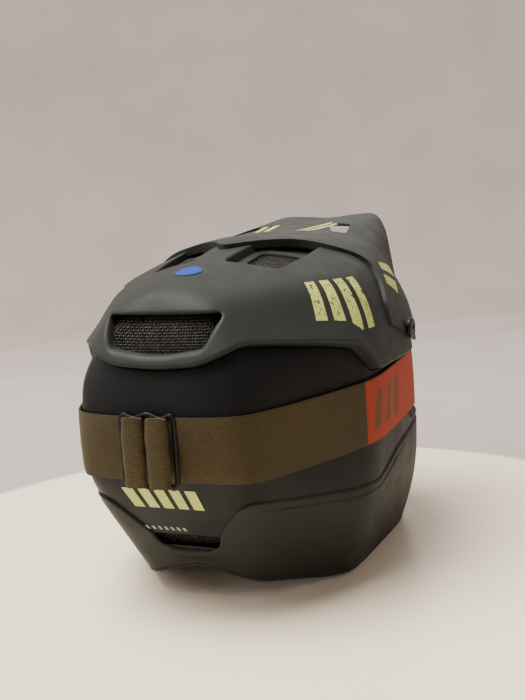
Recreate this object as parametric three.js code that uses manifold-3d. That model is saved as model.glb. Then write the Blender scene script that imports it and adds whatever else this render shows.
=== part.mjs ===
// Full-face gravity helmet in the motocross style, with its goggles worn round it.
// Millimetres, +Z up. The helmet looks along -Y and the wearer's right is -X. The pieces are drawn
// round the head, and the whole group is then moved so that the origin lies on the table under the
// middle of the object.
import * as THREE from 'three';
import { mergeVertices } from 'three/addons/utils/BufferGeometryUtils.js';
import Module from 'manifold-3d';

const wasm = await Module();
wasm.setup();

const V = (x, y, z) => new THREE.Vector3(x, y, z);
const rad = THREE.MathUtils.degToRad;
const lerp = THREE.MathUtils.lerp;

// ---------------------------------------------------------------- driving dimensions
const CORE = V(0, -19, 124);       // the point that the shell's radius is measured from
const HALF_WIDTH = 120;
const REACH_REAR = 160;
const REACH_FRONT = 192;
const REACH_UP = 140;
const REACH_DOWN = 198;
const ROUNDNESS = 2.9;             // exponent of the superellipsoid
const CREASE = 28;                 // how sharply the facets meet
const WALL = 4;                    // moulded shell wall
const PANEL_STEP = 2;              // lower side panel stands this much proud of the waist
const CROWN_STEP = 7;              // crown layer stands this much proud of the waist
const LIP_FLARE = 5;               // extra overhang of the crown layer's lip at the temples
const GAP = 0.4;                   // clearance between neighbouring pieces
const FOAM_GAP = 0.7;              // clearance between the shell and the foam
const AROUND = 40;                 // samples round the shell

// Facets that trim the superellipsoid: outward direction (mirrored in x) and reach from CORE.
const FACETS = [
  [[0, 0, 1], 138],              // crown
  [[0, 0.18, 0.98], 135],        // rear plateau
  [[0.30, 0.20, 0.93], 133],       // plateau bevel
  [[0.72, 0.42, 0.55], 137.8],     // shoulder
  [[0, 0.92, 0.38], 162.6],        // rear vent face
  [[0.9135, 0.407, 0], 122.3],     // waist, rear quarter
  [[0, 0.94, -0.34], 147.2],         // back of the neck
  [[0, 0.84, -0.54], 140.7],       // neck roll-in
  [[0.68, 0.55, -0.48], 136.5],    // lower rear quarter
  [[0, -0.80, 0.60], 149.4],         // brow
  [[0, -0.85, -0.52], 187.7],        // underside of the chin bar
  [[0.93, 0, -0.36], 129.5],         // jaw side
  [[0.75, -0.66, 0], 166.1],         // corner of the chin bar
].map(([n, reach]) => ({ n: V(...n).normalize(), reach }));

// ---------------------------------------------------------------- shell surface
// Azimuth 0 is the rear, 90 degrees the wearer's right, 180 the front.
const toward = (azimuth, elevation) => V(
  -Math.sin(azimuth) * Math.cos(elevation),
  Math.cos(azimuth) * Math.cos(elevation),
  Math.sin(elevation));

function shellRadius(d) {
  const reachY = d.y > 0 ? REACH_REAR : REACH_FRONT;
  const reachZ = d.z > 0 ? REACH_UP : REACH_DOWN;
  const ellipsoid = (Math.abs(d.x / HALF_WIDTH) ** ROUNDNESS
    + Math.abs(d.y / reachY) ** ROUNDNESS
    + Math.abs(d.z / reachZ) ** ROUNDNESS) ** (1 / ROUNDNESS);
  let sum = ellipsoid ** CREASE;
  for (const { n, reach } of FACETS) {
    const share = (Math.abs(d.x) * n.x + d.y * n.y + d.z * n.z) / reach;
    sum += Math.max(0, share) ** CREASE;
  }
  return sum ** (-1 / CREASE);
}

const onShell = (d, offset) => d.clone().multiplyScalar(shellRadius(d) + offset).add(CORE);
const directionTo = (p) => p.clone().sub(CORE).normalize();

// Elevation at which the shell, seen along one azimuth, reaches a height.
function elevationAt(azimuth, height, surface = onShell, offset = 0) {
  let low = -1.3;
  let high = 1.5;
  for (let i = 0; i < 36; i += 1) {
    const middle = (low + high) / 2;
    if (surface(toward(azimuth, middle), offset).z < height) low = middle;
    else high = middle;
  }
  return (low + high) / 2;
}

// A height that varies round the helmet, given as [azimuth in degrees, height] from rear to front.
function heightLine(points) {
  return (azimuth) => {
    const turn = THREE.MathUtils.euclideanModulo(azimuth + Math.PI, 2 * Math.PI) - Math.PI;
    const side = THREE.MathUtils.radToDeg(Math.abs(turn));
    const next = Math.max(1, points.findIndex(([a]) => a >= side));
    const [a0, h0] = points[next - 1];
    const [a1, h1] = points[next];
    return lerp(h0, h1, (side - a0) / (a1 - a0));
  };
}
const BOTTOM_LINE = heightLine([[0, 31], [25, 18], [60, 7], [100, 3.4], [146, 3.4], [180, 9]]);
const PANEL_LINE = heightLine([[0, 42], [9, 43], [14, 62], [20.5, 85], [23, 89], [44, 84], [64, 79.5],
  [81, 79.5], [103, 95], [125, 101], [180, 102]]);
const LIP_LINE = heightLine([[0, 184], [12, 186], [24, 198], [55, 189], [66, 184.5], [76, 164],
  [180, 164]]);
const STRAP_LEVEL = 129;           // middle of the goggle strap at the rear
const STRAP_LINE = (azimuth) => STRAP_LEVEL + 7.6 * (1 - Math.cos(azimuth));
const lipFlare = (azimuth) => {
  const rearward = THREE.MathUtils.clamp(4 * Math.cos(azimuth), 0, 1);
  return LIP_FLARE * Math.sin(azimuth) ** 2 * lerp(0.2, 1, rearward);
};

// Head cavity: an ellipsoid about CORE's height, longer downward so that the neck stays open.
const HEAD = { middleY: 2, halfWidth: 84, halfDepth: 108, up: 118, down: 200 };
function cavityRadius(d, grow) {
  const a = HEAD.halfWidth + grow;
  const b = HEAD.halfDepth + grow;
  const c = (d.z > 0 ? HEAD.up : HEAD.down) + grow;
  const shift = CORE.y - HEAD.middleY;
  const p = (d.x / a) ** 2 + (d.y / b) ** 2 + (d.z / c) ** 2;
  const q = shift * d.y / b ** 2;
  const r = (shift / b) ** 2 - 1;
  return (-q + Math.sqrt(q * q - p * r)) / p;
}
const PAD = 8;                     // comfort padding between the foam liner and the head
const FOAM_DEPTH = { least: 15, chinBar: 30 };
function linerRadius(d) {
  const shell = shellRadius(d);
  const head = Math.min(cavityRadius(d, PAD), shell - FOAM_DEPTH.least);
  return d.z < 0 ? Math.max(head, shell - FOAM_DEPTH.chinBar) : head;
}
const onLiner = (d, grow) => d.clone().multiplyScalar(linerRadius(d) + grow).add(CORE);

// ---------------------------------------------------------------- mesh builders
function enclosedVolume(points, triangles) {
  let volume = 0;
  for (let i = 0; i < triangles.length; i += 3) {
    const [a, b, c] = triangles.slice(i, i + 3).map((k) => points[k]);
    volume += a.dot(b.clone().cross(c)) / 6;
  }
  return volume;
}

// A closed geometry whose faces all point outward, whichever way round they were listed.
function geometryFrom(points, triangles) {
  const outward = enclosedVolume(points, triangles) > 0 ? triangles : triangles.toReversed();
  const geometry = new THREE.BufferGeometry();
  geometry.setAttribute('position', new THREE.Float32BufferAttribute(points.flatMap((p) => p.toArray()), 3));
  geometry.setIndex(outward);
  return geometry;
}

// Drops the triangles that collapse at a pole.
function withoutSlivers(triangles) {
  const kept = [];
  for (let i = 0; i < triangles.length; i += 3) {
    const [a, b, c] = triangles.slice(i, i + 3);
    if (a !== b && b !== c && c !== a) kept.push(a, b, c);
  }
  return kept;
}

// Skins closed loops of equal length in order. A loop of one point is a pole that closes the end;
// with `ring` the last loop joins the first.
function loft(loops, ring = false) {
  const points = [];
  const starts = loops.map((loop) => {
    points.push(...loop);
    return points.length - loop.length;
  });
  const size = Math.max(...loops.map((loop) => loop.length));
  const at = (row, i) => starts[row] + (loops[row].length === 1 ? 0 : i % size);
  const triangles = [];
  const rows = ring ? loops.length : loops.length - 1;
  for (let row = 0; row < rows; row += 1) {
    const up = (row + 1) % loops.length;
    // The diagonal starts at the higher row, so that nested skins are split alike and keep their gap.
    const falls = loops[row][0].z > loops[up][0].z;
    for (let i = 0; i < size; i += 1) {
      const [a, b, c, d] = [at(row, i), at(row, i + 1), at(up, i + 1), at(up, i)];
      if (falls) triangles.push(a, b, c, a, c, d);
      else triangles.push(a, b, d, b, c, d);
    }
  }
  return geometryFrom(points, withoutSlivers(triangles));
}

// A plate between two grids of points, `top` facing outward.
function slab(top, under) {
  const rows = top.length;
  const columns = top[0].length;
  const points = [...top.flat(), ...under.flat()];
  const above = (i, j) => i * columns + j;
  const below = (i, j) => rows * columns + above(i, j);
  const triangles = [];
  for (let i = 0; i < rows - 1; i += 1) {
    for (let j = 0; j < columns - 1; j += 1) {
      triangles.push(above(i, j), above(i + 1, j), above(i + 1, j + 1));
      triangles.push(above(i, j), above(i + 1, j + 1), above(i, j + 1));
      triangles.push(below(i, j), below(i + 1, j + 1), below(i + 1, j));
      triangles.push(below(i, j), below(i, j + 1), below(i + 1, j + 1));
    }
  }
  const border = [];
  for (let j = 0; j < columns; j += 1) border.push([0, j]);
  for (let i = 1; i < rows; i += 1) border.push([i, columns - 1]);
  for (let j = columns - 2; j >= 0; j -= 1) border.push([rows - 1, j]);
  for (let i = rows - 2; i > 0; i -= 1) border.push([i, 0]);
  border.forEach(([i, j], k) => {
    const [ni, nj] = border[(k + 1) % border.length];
    triangles.push(above(i, j), above(ni, nj), below(ni, nj));
    triangles.push(above(i, j), below(ni, nj), below(i, j));
  });
  return geometryFrom(points, triangles);
}

function solid(geometry) {
  const bare = geometry.clone();
  bare.deleteAttribute('normal');
  bare.deleteAttribute('uv');
  const merged = mergeVertices(bare, 1e-4);
  return new wasm.Manifold(new wasm.Mesh({
    numProp: 3,
    vertProperties: new Float32Array(merged.attributes.position.array),
    triVerts: new Uint32Array(merged.index.array),
  }));
}

function geometryOf(body) {
  const mesh = body.getMesh();
  const geometry = new THREE.BufferGeometry();
  geometry.setAttribute('position', new THREE.BufferAttribute(mesh.vertProperties, 3));
  geometry.setIndex(new THREE.BufferAttribute(mesh.triVerts, 1));
  return geometry;
}

// A straight bar of constant outline. The outline's (u, v) lie in the plane across `axis`:
// along X they are (y, z), along Y they are (x, z), along Z they are (x, y).
function prism(outline, axis, from, to) {
  const shape = new THREE.Shape(outline.map(([u, v]) => new THREE.Vector2(u, v)));
  const geometry = new THREE.ExtrudeGeometry(shape, { depth: to - from, bevelEnabled: false });
  geometry.translate(0, 0, from);
  const frames = {
    x: [V(0, 1, 0), V(0, 0, 1), V(1, 0, 0)],
    y: [V(1, 0, 0), V(0, 0, 1), V(0, -1, 0)],
    z: [V(1, 0, 0), V(0, 1, 0), V(0, 0, 1)],
  };
  geometry.applyMatrix4(new THREE.Matrix4().makeBasis(...frames[axis]));
  return geometry;
}
const cutterY = (outline, from, to) => solid(prism(outline, 'y', -to, -from));

// A rectangle or polygon with every corner cut back by an arc-like chamfer of `bite`.
function softened(outline, bite) {
  return outline.flatMap(([u, v], i) => {
    const [pu, pv] = outline.at(i - 1);
    const [nu, nv] = outline[(i + 1) % outline.length];
    const back = bite / Math.hypot(pu - u, pv - v);
    const on = bite / Math.hypot(nu - u, nv - v);
    return [[lerp(u, pu, back), lerp(v, pv, back)], [lerp(u, nu, on), lerp(v, nv, on)]];
  });
}

// Shrinks (or grows, when negative) a polygon toward its middle by about `by`.
function inset(outline, by) {
  const middle = [0, 1].map((k) => outline.reduce((sum, p) => sum + p[k], 0) / outline.length);
  const half = [0, 1].map((k) => Math.max(...outline.map((p) => Math.abs(p[k] - middle[k]))));
  return outline.map((p) => p.map((value, k) => middle[k] + (value - middle[k]) * (1 - by / half[k])));
}

const mirrored = (outline) => outline.map(([u, v]) => [-u, v]).reverse();
const mirrorX = (geometry) => {
  const copy = geometry.clone().scale(-1, 1, 1);
  const index = copy.index.array;
  for (let i = 0; i < index.length; i += 3) [index[i], index[i + 1]] = [index[i + 1], index[i]];
  return copy;
};

// One loop round the helmet at a height line (or straight at an elevation fraction above it).
function ringAt(line, rise, offset, surface = onShell) {
  return Array.from({ length: AROUND }, (_, i) => {
    const azimuth = -2 * Math.PI * i / AROUND;
    const start = elevationAt(azimuth, line(azimuth));
    const elevation = lerp(start, Math.PI / 2, rise);
    const extra = typeof offset === 'function' ? offset(azimuth) : offset;
    return surface(toward(azimuth, elevation), extra);
  });
}
function ringBetween(lowLine, highLine, t, offset, surface = onShell) {
  return Array.from({ length: AROUND }, (_, i) => {
    const azimuth = -2 * Math.PI * i / AROUND;
    const low = elevationAt(azimuth, lowLine(azimuth));
    const high = elevationAt(azimuth, highLine(azimuth));
    return surface(toward(azimuth, lerp(low, high, t)), offset);
  });
}
// A loop whose points lie exactly at the line's height, whatever the offset.
function levelRing(line, offset, surface = onShell) {
  return Array.from({ length: AROUND }, (_, i) => {
    const azimuth = -2 * Math.PI * i / AROUND;
    return surface(toward(azimuth, elevationAt(azimuth, line(azimuth), surface, offset)), offset);
  });
}

// Shares of the way up from the foot to the lip where the wall has a ring of points.
const WALL_RINGS = [0.17, 0.33, 0.5, 0.67, 0.83];

// A plain layer of the shell's shape between two offsets, open at the bottom.
function layer(inner, outer, bottom = BOTTOM_LINE, innerSurface = onShell) {
  const rises = [0.82, 0.62, 0.42, 0.28, 0.14, 0];
  const zenith = V(0, 0, 1);
  return solid(loft([
    [innerSurface(zenith, inner)],
    ...rises.map((rise) => ringAt(LIP_LINE, rise, inner, innerSurface)),
    ...WALL_RINGS.toReversed().map((t) => ringBetween(bottom, LIP_LINE, t, inner, innerSurface)),
    levelRing(bottom, inner, innerSurface),
    levelRing(bottom, outer),
    ...WALL_RINGS.map((t) => ringBetween(bottom, LIP_LINE, t, outer)),
    ...rises.toReversed().map((rise) => ringAt(LIP_LINE, rise, outer)),
    [onShell(zenith, outer)],
  ]));
}

// ---------------------------------------------------------------- openings
// Eye port, cut from side to side: outline in (y, z).
const EYE_PORT = softened([[-78, 150], [-92, 106], [-300, 102], [-300, 207], [-102, 203]], 9);
const REAR_VENT = softened([[-46, 222], [-37, 199], [-8, 195], [8, 195], [37, 199], [46, 222]], 3);
const LOWER_VENT = softened([[-29, 57], [-23, 46], [23, 46], [29, 57]], 2.5);
const MOUTH_VENT = softened([[-40, 78], [-26, 46], [26, 46], [40, 78]], 4);
// Crown vents on the wearer's right, outlines in plan (x, y); the left ones are mirrored.
const CROWN_RECESS = softened([[-14, 41], [-18, -48], [-62, -84], [-60, -10], [-54, 31]], 3);
const CROWN_VENT_REAR = softened([[-23, 20], [-24, -14], [-53, -24], [-49, 13]], 3);
const CROWN_VENT_FRONT = softened([[-26, -24], [-28, -50], [-57, -62], [-57, -33]], 3);
const SKY = 400;

// ---------------------------------------------------------------- visor
const VISOR_PROUD = 7.5;           // outer face of the visor above the shell's waist surface
const VISOR_WALL = 2.5;
const VISOR_BED = 1.8;             // floor of the seat that the visor lies in
const VISOR_PIVOT = V(119, -79, 186);
// Seam against the crown and free rim, from the middle to the wearer's right.
const VISOR_SEAM = [[0, 8, 262], [-21, -19, 262], [-42, -40, 260], [-70, -45, 255], [-96, -57, 241],
  [-107, -50, 228], [-116, -36, 211], [-119, -32, 192]];
const VISOR_RIM = [[0, -240, 277], [-26, -240, 279], [-48, -232, 279], [-65, -210, 268], [-84, -170, 236],
  [-100, -134, 200], [-112, -106, 168]];

function mirrorCurve(points) {
  const right = points.map((p) => V(...p));
  const left = right.slice(1).map((p) => V(-p.x, p.y, p.z));
  return new THREE.CatmullRomCurve3([...left.toReversed(), ...right], false, 'centripetal');
}
const seamCurve = mirrorCurve(VISOR_SEAM);
const rimCurve = mirrorCurve(VISOR_RIM);

// Point of the visor's outer face: it hugs the shell near the seam and flies free toward the rim.
function visorPoint(across, along, proud) {
  const chord = seamCurve.getPoint(across).lerp(rimCurve.getPoint(across), along);
  const d = directionTo(chord);
  const hug = shellRadius(d) + proud;
  const free = chord.distanceTo(CORE) + (proud - VISOR_PROUD);
  return d.multiplyScalar(Math.max(hug, free)).add(CORE);
}
function visorGrid(proud, from = 0, to = 1) {
  return Array.from({ length: 23 }, (_, i) => Array.from({ length: 8 }, (_, j) => (
    visorPoint(i / 22, lerp(from, to, j / 7), proud))));
}
function sunkAlongNormals(grid, depth) {
  return grid.map((row, i) => row.map((p, j) => {
    const acrossStep = grid[Math.min(i + 1, grid.length - 1)][j].clone().sub(grid[Math.max(i - 1, 0)][j]);
    const alongStep = row[Math.min(j + 1, row.length - 1)].clone().sub(row[Math.max(j - 1, 0)]);
    return p.clone().addScaledVector(acrossStep.cross(alongStep).normalize(), -depth);
  }));
}

function visor() {
  const top = visorGrid(VISOR_PROUD);
  let body = solid(slab(top, sunkAlongNormals(top, VISOR_WALL)));
  const slot = softened([[-25, -165], [-49, -161], [-59, -116], [-46, -116]], 5);
  for (const outline of [slot, mirrored(slot)]) {
    body = body.subtract(solid(prism(outline, 'z', 150, SKY)));
  }
  return geometryOf(body.subtract(pivotBore(4.2)));
}
// The seat under the visor: everything above the bed's floor, a little beyond the visor's edges.
function visorBed() {
  const footprint = visorGrid(0, -0.008, 1.08);
  const level = (proud) => footprint.map((row) => row.map((p) => onShell(directionTo(p), proud)));
  return solid(slab(level(60), level(VISOR_BED)));
}

// Room for the visor in every tilt: copies of it, a little thicker, turned about its screws.
function visorSweep() {
  const top = visorGrid(VISOR_PROUD + 0.5);
  const visorWithRoom = solid(slab(top, sunkAlongNormals(top, VISOR_WALL + 1)));
  const atPivot = visorWithRoom.translate(0, -VISOR_PIVOT.y, -VISOR_PIVOT.z);
  return [0, 1, 2, 3, 4, 5, 6, 7, 8].map((degrees) => (
    atPivot.rotate([degrees, 0, 0]).translate(0, VISOR_PIVOT.y, VISOR_PIVOT.z)));
}

// Both pivot bores at once, as a rod right across the helmet.
function pivotBore(radius) {
  const rod = new THREE.CylinderGeometry(radius, radius, 300, 20).rotateZ(Math.PI / 2);
  return solid(rod.translate(0, VISOR_PIVOT.y, VISOR_PIVOT.z));
}

function visorScrew() {
  const wallX = onShell(directionTo(VISOR_PIVOT), 0).x;
  const headX = wallX + VISOR_PROUD + 1.2;
  const profile = [[0, wallX - 3], [3.4, wallX - 3], [3.4, headX], [8.5, headX], [8.5, headX + 2],
    [7, headX + 3.2], [0, headX + 3.2]].map(([r, x]) => new THREE.Vector2(r, x));
  const screw = new THREE.LatheGeometry(profile, 16).rotateZ(-Math.PI / 2);
  return screw.translate(0, VISOR_PIVOT.y, VISOR_PIVOT.z);
}

// ---------------------------------------------------------------- shell and liner
function outerShell() {
  const zenith = V(0, 0, 1);
  const lip = (azimuth) => CROWN_STEP + lipFlare(azimuth);
  const lipSoft = (azimuth) => CROWN_STEP + 0.4 * lipFlare(azimuth);
  const inner = [0.82, 0.62, 0.42, 0.28, 0.14, 0];
  const outer = [0.06, 0.16, 0.28, 0.42, 0.6, 0.8];
  let body = solid(loft([
    [onShell(zenith, -WALL)],
    ...inner.map((rise) => ringAt(LIP_LINE, rise, -WALL)),
    ...WALL_RINGS.toReversed().map((t) => ringBetween(BOTTOM_LINE, LIP_LINE, t, -WALL)),
    levelRing(BOTTOM_LINE, -WALL),
    levelRing(BOTTOM_LINE, PANEL_STEP),
    ...[0.33, 0.67, 1].map((t) => ringBetween(BOTTOM_LINE, PANEL_LINE, t, PANEL_STEP)),
    ...[0.01, ...WALL_RINGS, 1].map((t) => ringBetween(PANEL_LINE, LIP_LINE, t, 0)),
    ringAt(LIP_LINE, 0.01, lip),
    ringAt(LIP_LINE, outer[0], lipSoft),
    ...outer.slice(1).map((rise) => ringAt(LIP_LINE, rise, CROWN_STEP)),
    [onShell(zenith, CROWN_STEP)],
  ]));
  body = body.subtract(visorBed());
  for (const tilted of visorSweep()) body = body.subtract(tilted);
  body = body.subtract(solid(prism(EYE_PORT, 'x', -200, 200)));
  body = body.subtract(cutterY(REAR_VENT, 90, 220));
  body = body.subtract(cutterY(LOWER_VENT, 90, 220));
  body = body.subtract(cutterY(MOUTH_VENT, -300, -150));
  for (const recess of [CROWN_RECESS, mirrored(CROWN_RECESS)]) {
    body = body.subtract(layer(0.5, 60).intersect(solid(prism(recess, 'z', 180, SKY))));
  }
  for (const vent of [CROWN_VENT_REAR, CROWN_VENT_FRONT]) {
    body = body.subtract(solid(prism(vent, 'z', 180, SKY)));
    body = body.subtract(solid(prism(mirrored(vent), 'z', 180, SKY)));
  }
  return geometryOf(body.subtract(pivotBore(3.8)));
}

const CHIN_SPLIT = -96;            // where the chin bar foam meets the main liner
function foam() {
  const body = layer(0, -WALL - FOAM_GAP, BOTTOM_LINE, onLiner);
  return body.subtract(solid(prism(inset(EYE_PORT, -1), 'x', -200, 200)));
}
const chinRegion = (y) => solid(prism([[-300, -50], [y, -50], [y, 125], [-300, 125]], 'x', -200, 200));
const mainLiner = () => {
  let body = foam().subtract(chinRegion(CHIN_SPLIT + GAP));
  const pocket = layer(-WALL - 9, 20).intersect(cutterY(inset(REAR_VENT, -2), 80, 220));
  return geometryOf(body.subtract(pocket));
};
function chinBarFoam() {
  const body = foam().intersect(chinRegion(CHIN_SPLIT));
  return geometryOf(body.subtract(cutterY(inset(MOUTH_VENT, -1), -300, -150)));
}

function meshPlate(outline, axis, from, to) {
  const edge = inset(outline, GAP);
  const block = axis === 'y' ? cutterY(edge, from, to) : solid(prism(edge, axis, from, to));
  return geometryOf(layer(-3.4, -1.4).intersect(block));
}

function mouthGrille() {
  let body = layer(-3.6, -1).intersect(cutterY(inset(MOUTH_VENT, GAP), -300, -150));
  for (let i = -2; i <= 2; i += 1) {
    const slot = softened([[i * 12 - 3.5, 72], [i * 10 - 3, 52], [i * 10 + 3, 52], [i * 12 + 3.5, 72]], 1.5);
    body = body.subtract(cutterY(slot, -300, -150));
  }
  return geometryOf(body);
}

function badge() {
  const disc = new THREE.CylinderGeometry(10.5, 10.5, 1, 28);
  const upright = V(0, 1, 0);
  const plateau = FACETS[1].n;
  disc.applyQuaternion(new THREE.Quaternion().setFromUnitVectors(upright, plateau));
  const seat = onShell(directionTo(V(0, 74, 251)), CROWN_STEP + 1.3);
  return disc.translate(seat.x, seat.y, seat.z);
}

// Rubber edge inside the eye port.
function eyePortTrim() {
  const outerBlock = solid(prism(inset(EYE_PORT, GAP), 'x', -200, 200));
  const innerBlock = solid(prism(inset(EYE_PORT, 3.2), 'x', -210, 210));
  return geometryOf(layer(-5, 0).intersect(outerBlock).subtract(innerBlock));
}

// Rubber edge under the shell's rim.
function bottomTrim() {
  const top = (azimuth) => BOTTOM_LINE(azimuth) - GAP;
  const foot = (azimuth) => BOTTOM_LINE(azimuth) - 3.4;
  return loft([levelRing(foot, -5), levelRing(foot, 2.6), levelRing(top, 2.6), levelRing(top, -5)], true);
}

// ---------------------------------------------------------------- comfort padding
// The hollow inside the liner as a filled body, `inward` millimetres smaller all round.
function hollow(inward) {
  const rises = [0, 0.14, 0.28, 0.42, 0.62, 0.82];
  const floor = levelRing(BOTTOM_LINE, -inward, onLiner);
  return solid(loft([
    [V(0, CORE.y, floor[AROUND / 2].z)],
    floor,
    ...WALL_RINGS.map((t) => ringBetween(BOTTOM_LINE, LIP_LINE, t, -inward, onLiner)),
    ...rises.map((rise) => ringAt(LIP_LINE, rise, -inward, onLiner)),
    [onLiner(V(0, 0, 1), -inward)],
  ]));
}
function padIn(region, thickness) {
  return geometryOf(hollow(GAP).subtract(hollow(GAP + thickness)).intersect(region));
}
function crownPad() {
  const lowerEdge = [[-130, 216], [-96, 206], [-60, 152], [0, 120], [60, 104], [170, 98]];
  const region = [...lowerEdge, [170, SKY], [-130, SKY]];
  return padIn(solid(prism(region, 'x', -200, 200)), PAD);
}
function cheekPad(side) {
  const reach = [20 * side, 200 * side].sort((a, b) => a - b);
  const region = [[-118, 40], [-60, 22], [-36, 30], [-36, 112], [-118, 98]];
  return padIn(solid(prism(region, 'x', ...reach)), 22);
}
function neckRoll() {
  const region = [[22, 12], [170, 36], [170, 92], [22, 92]];
  return padIn(solid(prism(region, 'x', -200, 200)), 13);
}

// ---------------------------------------------------------------- chin strap
const STRAP_ANCHOR = V(86, 0, 64);
const WEB = { width: 24, thick: 1.8 };
// The fastened strap hangs in a plane through both anchors, leaning forward under the chin.
const STRAP_LEAN = rad(36);
const strapPlane = new THREE.Matrix4().makeBasis(
  V(1, 0, 0),
  V(0, -Math.sin(STRAP_LEAN), -Math.cos(STRAP_LEAN)),
  V(0, Math.cos(STRAP_LEAN), -Math.sin(STRAP_LEAN)),
).setPosition(0, STRAP_ANCHOR.y, STRAP_ANCHOR.z);

// A webbing band along a flat path of [x, drop] points in the strap's plane.
function webbing(path, width = WEB.width) {
  const curve = new THREE.CatmullRomCurve3(path.map(([x, drop]) => V(x, drop, 0)), false, 'centripetal');
  const samples = curve.getSpacedPoints(path.length * 3);
  const side = (shift) => samples.map((p, i) => {
    const before = samples[Math.max(i - 1, 0)];
    const after = samples[Math.min(i + 1, samples.length - 1)];
    const run = after.clone().sub(before).normalize();
    return [p.x - run.y * shift, p.y + run.x * shift];
  });
  const outline = [...side(WEB.thick / 2), ...side(-WEB.thick / 2).toReversed()];
  const shape = new THREE.Shape(outline.map(([x, drop]) => new THREE.Vector2(x, drop)));
  const geometry = new THREE.ExtrudeGeometry(shape, { depth: width, bevelEnabled: false, curveSegments: 4 });
  return geometry.translate(0, 0, -width / 2).applyMatrix4(strapPlane);
}
const RING = { x: 30, drop: 50, length: 20, width: 32, wire: 1.6 };
const shortWeb = () => webbing([[79, 2], [76, 12], [64, 26], [50, 40], [RING.x + 10, RING.drop - 6]]);
const longWeb = () => webbing(
  [[-79, 2], [-76, 12], [-64, 27], [-44, 46], [-16, 57], [6, 57], [RING.x - 8, 52]]);
const webTail = () => webbing([[-18, 51.5], [-8, 52.4], [3, 51.4], [13, 48.6]], 22);

// A D-shaped ring lying along the strap, its straight bar across the webbing.
function dRing(level) {
  const half = RING.width / 2;
  const bow = new THREE.Shape();
  bow.moveTo(RING.x + 6, -half);
  bow.lineTo(RING.x + 6, half);
  bow.absellipse(RING.x + 6, 0, RING.length, half, Math.PI / 2, 3 * Math.PI / 2, false);
  const hole = new THREE.Path();
  const inner = half - 2 * RING.wire;
  const bar = RING.x + 6 - 2 * RING.wire;
  hole.moveTo(bar, -inner);
  hole.absellipse(bar, 0, RING.length - 4 * RING.wire, inner, 3 * Math.PI / 2, Math.PI / 2, true);
  bow.holes.push(hole);
  const depth = 2 * RING.wire;
  const geometry = new THREE.ExtrudeGeometry(bow, { depth, bevelEnabled: false, curveSegments: 10 });
  const lieFlat = new THREE.Matrix4().makeBasis(V(1, 0, 0), V(0, 0, 1), V(0, -1, 0));
  return geometry.applyMatrix4(lieFlat).translate(0, level, 0).applyMatrix4(strapPlane);
}

function strapRivet() {
  const liner = onLiner(directionTo(STRAP_ANCHOR), 0).x;
  const profile = [[0, liner - 6.4], [5, liner - 5.8], [6, liner - 4.4], [6, liner - 2.4], [0, liner - 2.4]]
    .map(([r, x]) => new THREE.Vector2(r, x));
  const rivet = new THREE.LatheGeometry(profile, 14).rotateZ(-Math.PI / 2);
  return rivet.translate(0, STRAP_ANCHOR.y, STRAP_ANCHOR.z);
}

// ---------------------------------------------------------------- goggles
const GOGGLE = { halfWidth: 84, halfHeight: 44, front: -176, level: 153, bend: 112, rim: 9 };
// Frame outline in (x, z) with the nose arch, then bent round the face.
function goggleLoop(shrink, depth) {
  return Array.from({ length: 36 }, (_, i) => {
    const turn = 2 * Math.PI * i / 36;
    const power = (value, p) => Math.sign(value) * Math.abs(value) ** p;
    const x = (GOGGLE.halfWidth - shrink) * power(Math.cos(turn), 0.72);
    let z = (GOGGLE.halfHeight - shrink) * power(Math.sin(turn), 0.72);
    if (z < 0) z += 17 * Math.exp(-((x / 20) ** 2));
    return gogglePoint(x, z, depth);
  });
}
function gogglePoint(x, z, depth) {
  const bend = GOGGLE.bend - depth;
  const turn = x / GOGGLE.bend;
  return V(bend * Math.sin(turn), GOGGLE.front + GOGGLE.bend - bend * Math.cos(turn), GOGGLE.level + z);
}
const goggleRing = (outer, inner, front, back) => loft([
  goggleLoop(outer, front), goggleLoop(outer, back), goggleLoop(inner, back), goggleLoop(inner, front),
], true);
const goggleFrame = () => goggleRing(0, GOGGLE.rim, 0, 16);
const goggleFoam = () => goggleRing(2, GOGGLE.rim + 3, 16 + GAP, 32);
function goggleLens() {
  const edge = GOGGLE.rim + GAP;
  const rings = [edge, edge + 16];
  const middle = (depth) => [gogglePoint(0, 4, depth)];
  return loft([
    middle(5),
    ...rings.toReversed().map((shrink) => goggleLoop(shrink, 5)),
    ...rings.map((shrink) => goggleLoop(shrink, 6.4)),
    middle(6.4),
  ]);
}

// Strap round the helmet: [azimuth, across] -> point, leaving the shell at the eye port's edge.
const ELASTIC = { halfWidth: 24, clearance: 1.5, thick: 2, leaves: 125, endX: 92, endY: -136 };
function elasticPoint(azimuthDeg, across, lift) {
  const side = Math.sign(azimuthDeg) || 1;
  const reach = Math.min(Math.abs(azimuthDeg), ELASTIC.leaves);
  const azimuth = rad(side * reach);
  const height = STRAP_LINE(azimuth) + across * ELASTIC.halfWidth;
  const onSide = onShell(toward(azimuth, elevationAt(azimuth, height)), ELASTIC.clearance + lift);
  if (Math.abs(azimuthDeg) <= ELASTIC.leaves) return onSide;
  const past = Math.abs(azimuthDeg) - ELASTIC.leaves;
  const endHeight = STRAP_LINE(rad(ELASTIC.leaves)) + across * 22;
  const end = V(-side * (ELASTIC.endX + lift * 0.8), ELASTIC.endY - lift * 0.6, endHeight);
  return onSide.lerp(end, past / 12);
}
function elasticStrap() {
  const columns = 45;
  const side = (lift) => Array.from({ length: columns }, (_, i) => (
    [-1, -0.33, 0.33, 1].map((across) => (
      elasticPoint(lerp(-ELASTIC.leaves - 11, ELASTIC.leaves + 11, i / (columns - 1)), across, lift)))));
  return slab(side(ELASTIC.thick), side(0));
}

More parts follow.
